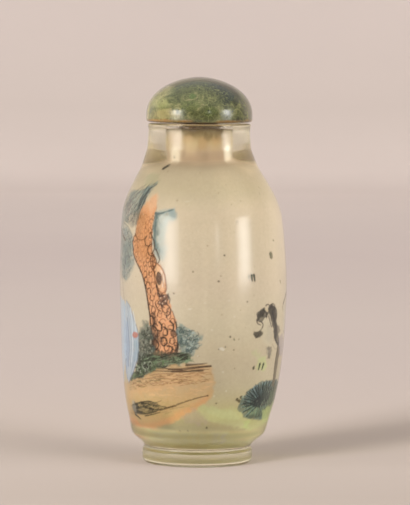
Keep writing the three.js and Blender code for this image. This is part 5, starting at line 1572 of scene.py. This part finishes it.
rough = node(nt, "ShaderNodeTexNoise", Vector=geo.outputs["Object"], Scale=900.0, Detail=5.0)
bump = node(nt, "ShaderNodeBump", Height=rough.outputs["Fac"], Strength=0.22, Distance=0.0003)
nt.links.new(bump.outputs["Normal"], b.inputs["Normal"])
nt.links.new(b.outputs["BSDF"], out.inputs["Surface"])
dome.data.materials.append(m)

# --------------------------------------------------------------------- cork
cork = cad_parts["cork"]
m, nt, out = material("cork")
geo = node(nt, "ShaderNodeTexCoord")
grainy = node(nt, "ShaderNodeTexNoise", Vector=geo.outputs["Object"], Scale=900.0, Detail=6.0)
pores = node(nt, "ShaderNodeTexVoronoi", Vector=geo.outputs["Object"], Scale=1100.0)
colour = mixed(nt, band(nt, grainy.outputs["Fac"], 0.35, 0.65), tuple(srgb(104, 74, 44)), tuple(srgb(156, 120, 78)))
colour = mixed(nt, band(nt, pores.outputs["Distance"], 0.22, 0.05, 0, 0.8), colour, tuple(srgb(58, 40, 26)))
b = node(nt, "ShaderNodeBsdfPrincipled", Base_Color=colour, Roughness=0.85)
bump = node(nt, "ShaderNodeBump", Height=grainy.outputs["Fac"], Strength=0.5, Distance=0.0003)
nt.links.new(bump.outputs["Normal"], b.inputs["Normal"])
nt.links.new(b.outputs["BSDF"], out.inputs["Surface"])
cork.data.materials.clear()
cork.data.materials.append(m)

# --------------------------------------------- ground underside of the foot
rows = [(0, FOOT_RECESS + SKIN)]
for t in np.linspace(0.1, 1, 12):
    rows.append(((FOOT_RING - 0.6) * t, FOOT_RECESS - 0.06 * t * t + SKIN))
for t in np.linspace(0.2, 1, 5):
    rows.append((FOOT_RING - 0.6 + 0.6 * t, (FOOT_RECESS - 0.06) * (1 - t * t * (3 - 2 * t)) + SKIN))
rows += [(r, SKIN) for r in (8.0, 8.4, 8.8, FOOT_R - FOOT_ROUND)]
ground = revolve("ground_foot", rows, 192, oval)
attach(ground, "root")
m, nt, out = material("ground_glass")
geo = node(nt, "ShaderNodeTexCoord")
dust = node(nt, "ShaderNodeTexNoise", Vector=geo.outputs["Object"], Scale=500.0, Detail=6.0)
grain = mixed(nt, band(nt, dust.outputs["Fac"], 0.3, 0.7), tuple(srgb(156, 147, 110)), tuple(srgb(172, 163, 124)))
# painted highlights: the foot's underside is paler towards its left and right sides
split = node(nt, "ShaderNodeSeparateXYZ", in0=geo.outputs["Object"])
painted_side_light = node(nt, "ShaderNodeMath", (("operation", "ABSOLUTE"),), in0=split.outputs["X"])
colour = mixed(nt, band(nt, painted_side_light.outputs[0], 0.0025, 0.0065), grain, tuple(srgb(196, 184, 146)))
b = node(nt, "ShaderNodeBsdfPrincipled", Base_Color=colour, Roughness=0.8)
b.inputs["Specular IOR Level"].default_value = 0.1
nt.links.new(b.outputs["BSDF"], out.inputs["Surface"])
ground.data.materials.append(m)

# -------------------------------------------------------------------- stage
def dish():
    rows = [(0.0, 0.0)]
    for r in np.linspace(20, 1100, 28):
        rows.append((r, 0.0))
    for a in np.linspace(0, 88, 40)[1:]:
        t = math.radians(a)
        rows.append((1100 + 900 * math.sin(t), 900 * (1 - math.cos(t))))
    rows.append((2010, 1800))
    return rows


floor = revolve("floor", dish(), 160, lambda v: v)
for p in floor.data.polygons:
    p.use_smooth = True
m, nt, out = material("floor")
b = nt.nodes.new("ShaderNodeBsdfPrincipled")
b.inputs["Roughness"].default_value = 0.9
b.inputs["Specular IOR Level"].default_value = 0.1
nt.links.new(b.outputs["BSDF"], out.inputs["Surface"])
# paler away from the bottle, with the faint unevenness of a painted board
geo = nt.nodes.new("ShaderNodeNewGeometry")
ramp = nt.nodes.new("ShaderNodeValToRGB")
split = nt.nodes.new("ShaderNodeSeparateXYZ")
nt.links.new(geo.outputs["Position"], split.inputs[0])
reach = nt.nodes.new("ShaderNodeMapRange")
reach.inputs["From Min"].default_value = -0.1
reach.inputs["From Max"].default_value = 1.5
nt.links.new(split.outputs["Y"], reach.inputs["Value"])
nt.links.new(reach.outputs["Result"], ramp.inputs["Fac"])
FLOOR_TONES = [(-0.1, (0.248, 0.208, 0.179)), (-0.05, (0.248, 0.208, 0.179)), (-0.016, (0.274, 0.230, 0.200)),
               (0.05, (0.306, 0.256, 0.222)), (0.17, (0.351, 0.296, 0.266)), (0.35, (0.430, 0.366, 0.331)),
               (0.6, (0.525, 0.449, 0.416)), (0.85, (0.650, 0.568, 0.525)), (1.05, (0.742, 0.654, 0.604)),
               (1.2, (0.724, 0.636, 0.585)), (1.35, (0.611, 0.534, 0.487)), (1.5, (0.592, 0.514, 0.474))]
FLOOR_TONES = [((y + 0.1) / 1.6, tone) for y, tone in FLOOR_TONES]
while len(ramp.color_ramp.elements) < len(FLOOR_TONES):
    ramp.color_ramp.elements.new(0.5)
for e, (at, tone) in zip(ramp.color_ramp.elements, FLOOR_TONES):
    e.position = at
    e.color = (*tone, 1)
noise = nt.nodes.new("ShaderNodeTexNoise")
noise.inputs["Scale"].default_value = 9.0
noise.inputs["Detail"].default_value = 5.0
nt.links.new(geo.outputs["Position"], noise.inputs["Vector"])
spread = nt.nodes.new("ShaderNodeMapRange")
spread.inputs["To Min"].default_value = 0.975
spread.inputs["To Max"].default_value = 1.025
nt.links.new(noise.outputs["Fac"], spread.inputs["Value"])
tone = nt.nodes.new("ShaderNodeVectorMath")
tone.operation = "SCALE"
rise = nt.nodes.new("ShaderNodeMapRange")
rise.interpolation_type = "SMOOTHSTEP"
rise.inputs["From Min"].default_value = 0.2
rise.inputs["From Max"].default_value = 1.5
nt.links.new(split.outputs["Z"], rise.inputs["Value"])
up = nt.nodes.new("ShaderNodeMix")
up.data_type = "RGBA"
up.inputs[7].default_value = (0.95, 0.93, 0.92, 1)
near = nt.nodes.new("ShaderNodeMapRange")
near.interpolation_type = "SMOOTHSTEP"
near.inputs["From Min"].default_value = 0.5
near.inputs["From Max"].default_value = -0.6
nt.links.new(split.outputs["Y"], near.inputs["Value"])
both = nt.nodes.new("ShaderNodeMath")
both.operation = "MULTIPLY"
nt.links.new(rise.outputs["Result"], both.inputs[0])
nt.links.new(near.outputs["Result"], both.inputs[1])
nt.links.new(both.outputs[0], up.inputs[0])
nt.links.new(ramp.outputs["Color"], up.inputs[6])
nt.links.new(up.outputs[2], tone.inputs[0])
nt.links.new(spread.outputs["Result"], tone.inputs["Scale"])
nt.links.new(tone.outputs["Vector"], b.inputs["Base Color"])
floor.data.materials.append(m)

world = bpy.data.worlds.new("studio")
bpy.context.scene.world = world
world.use_nodes = True
bg = world.node_tree.nodes["Background"]
bg.inputs["Color"].default_value = (1.0, 0.985, 0.985, 1)
bg.inputs["Strength"].default_value = 0.60


def softbox(name, azimuth, distance, low, high, width, power, colour=(1.0, 0.95, 0.88)):
    """An upright light on the camera's side of the bottle; azimuth 0 is the camera's side, + to the right."""
    a = math.radians(azimuth)
    d = Vector((math.sin(a), -math.cos(a), 0))
    data = bpy.data.lights.new(name, "AREA")
    data.shape = "RECTANGLE"
    data.size, data.size_y = width, high - low
    data.energy = power
    data.color = colour
    ob = bpy.data.objects.new(name, data)
    ob.location = d * distance + Vector((0, 0, (low + high) / 2))
    ob.rotation_mode = "QUATERNION"
    ob.rotation_quaternion = d.to_track_quat("Z", "Y")
    ob.visible_camera = False
    bpy.context.scene.collection.objects.link(ob)
    return ob


def panel(name, azimuth, distance, low, high, width, radiance, colour, fade_low, fade_side):
    """An upright softbox whose lower part and sides fade out."""
    ob = softbox(name, azimuth, distance, low, high, width, radiance * math.pi * width * (high - low), colour)
    data = ob.data
    data.use_nodes = True
    lt = data.node_tree
    em = lt.nodes["Emission"]
    where = node(lt, "ShaderNodeNewGeometry")
    split = node(lt, "ShaderNodeSeparateXYZ", in0=where.outputs["Parametric"])
    u, w = split.outputs["X"], split.outputs["Y"]
    left, right = band(lt, u, 0.0, fade_side), band(lt, u, 1.0, 1.0 - fade_side)
    bottom, top = band(lt, w, 0.0, fade_low), band(lt, w, 1.0, 0.93)
    a = node(lt, "ShaderNodeMath", (("operation", "MULTIPLY"),), in0=left, in1=right)
    c = node(lt, "ShaderNodeMath", (("operation", "MULTIPLY"),), in0=bottom, in1=top)
    d = node(lt, "ShaderNodeMath", (("operation", "MULTIPLY"),), in0=a.outputs[0], in1=c.outputs[0])
    lt.links.new(d.outputs[0], em.inputs["Strength"])
    return ob


panel("light_left", -50, 0.9, 0.0, 0.37, 0.66, 7.6, (1.0, 0.99, 0.97), 0.34, 0.46)
panel("light_right", 63, 0.9, 0.0, 0.39, 0.50, 8.0, (1.0, 0.99, 0.97), 0.34, 0.42)
panel("light_small", 22, 1.0, 0.19, 0.38, 0.09, 9.0, (0.97, 0.99, 1.0), 0.7, 0.48)
for name, azimuth, low, high, width, power in (
        ("key_left_side", -78, 0.16, 0.36, 0.16, 3.6), ("key_left", -42, 0.16, 0.38, 0.20, 4.2),
        ("key_right_side", 82, 0.14, 0.34, 0.16, 2.2), ("key_right", 55, 0.14, 0.34, 0.20, 1.8),
        ("fill_right", 68, 0.05, 0.85, 0.90, 5.5)):
    key = softbox(name, azimuth, 1.1 if name == "fill_right" else 0.9, low, high, width, power, (1.0, 1.0, 1.0))
    a = math.radians(azimuth)
    d = Vector((math.sin(a), -math.cos(a), 0))
    key.rotation_quaternion = (d * 0.9 + Vector((0, 0, (low + high) / 2 - 0.03))).normalized().to_track_quat("Z", "Y")
    key.visible_glossy = False
    key.visible_transmission = False

# the lamps' reach over the floor, and the long soft shadows they draw
only_floor = bpy.data.collections.new("floor_only")
only_floor.objects.link(floor)
for name, azimuth, width, power in (("floor_key_left", -38, 0.27, 33.0), ("floor_key_right", 44, 0.34, 13.0)):
    low_key = softbox(name, azimuth, 0.9, 0.02, 0.38, width, power, (1.0, 1.0, 1.0))
    low_key.light_linking.receiver_collection = only_floor
    low_key.visible_glossy = False
    low_key.visible_transmission = False

# ------------------------------------------------------------------- camera
cam_data = bpy.data.cameras.new("camera")
cam = bpy.data.objects.new("camera", cam_data)
bpy.context.scene.collection.objects.link(cam)
cam_data.sensor_width = 36.0
cam_data.lens = 249.6
cam_at = Vector((AXIS_X * MM + 0.00121, -0.653, 0.081))
aim = Vector((AXIS_X * MM + 0.00121, 0, 0.0392))
cam.location = cam_at
q = (aim - cam_at).to_track_quat("-Z", "Y")
cam.rotation_mode = "QUATERNION"
cam.rotation_quaternion = q @ Quaternion((0, 0, 1), math.radians(0.37))
cam_data.clip_start, cam_data.clip_end = 0.01, 20
bpy.context.scene.camera = cam

sc = bpy.context.scene
sc.view_settings.view_transform = "Standard"
sc.view_settings.look = "None"
sc.cycles.max_bounces = 16
sc.cycles.transmission_bounces = 16
sc.cycles.sample_clamp_indirect = 4.0
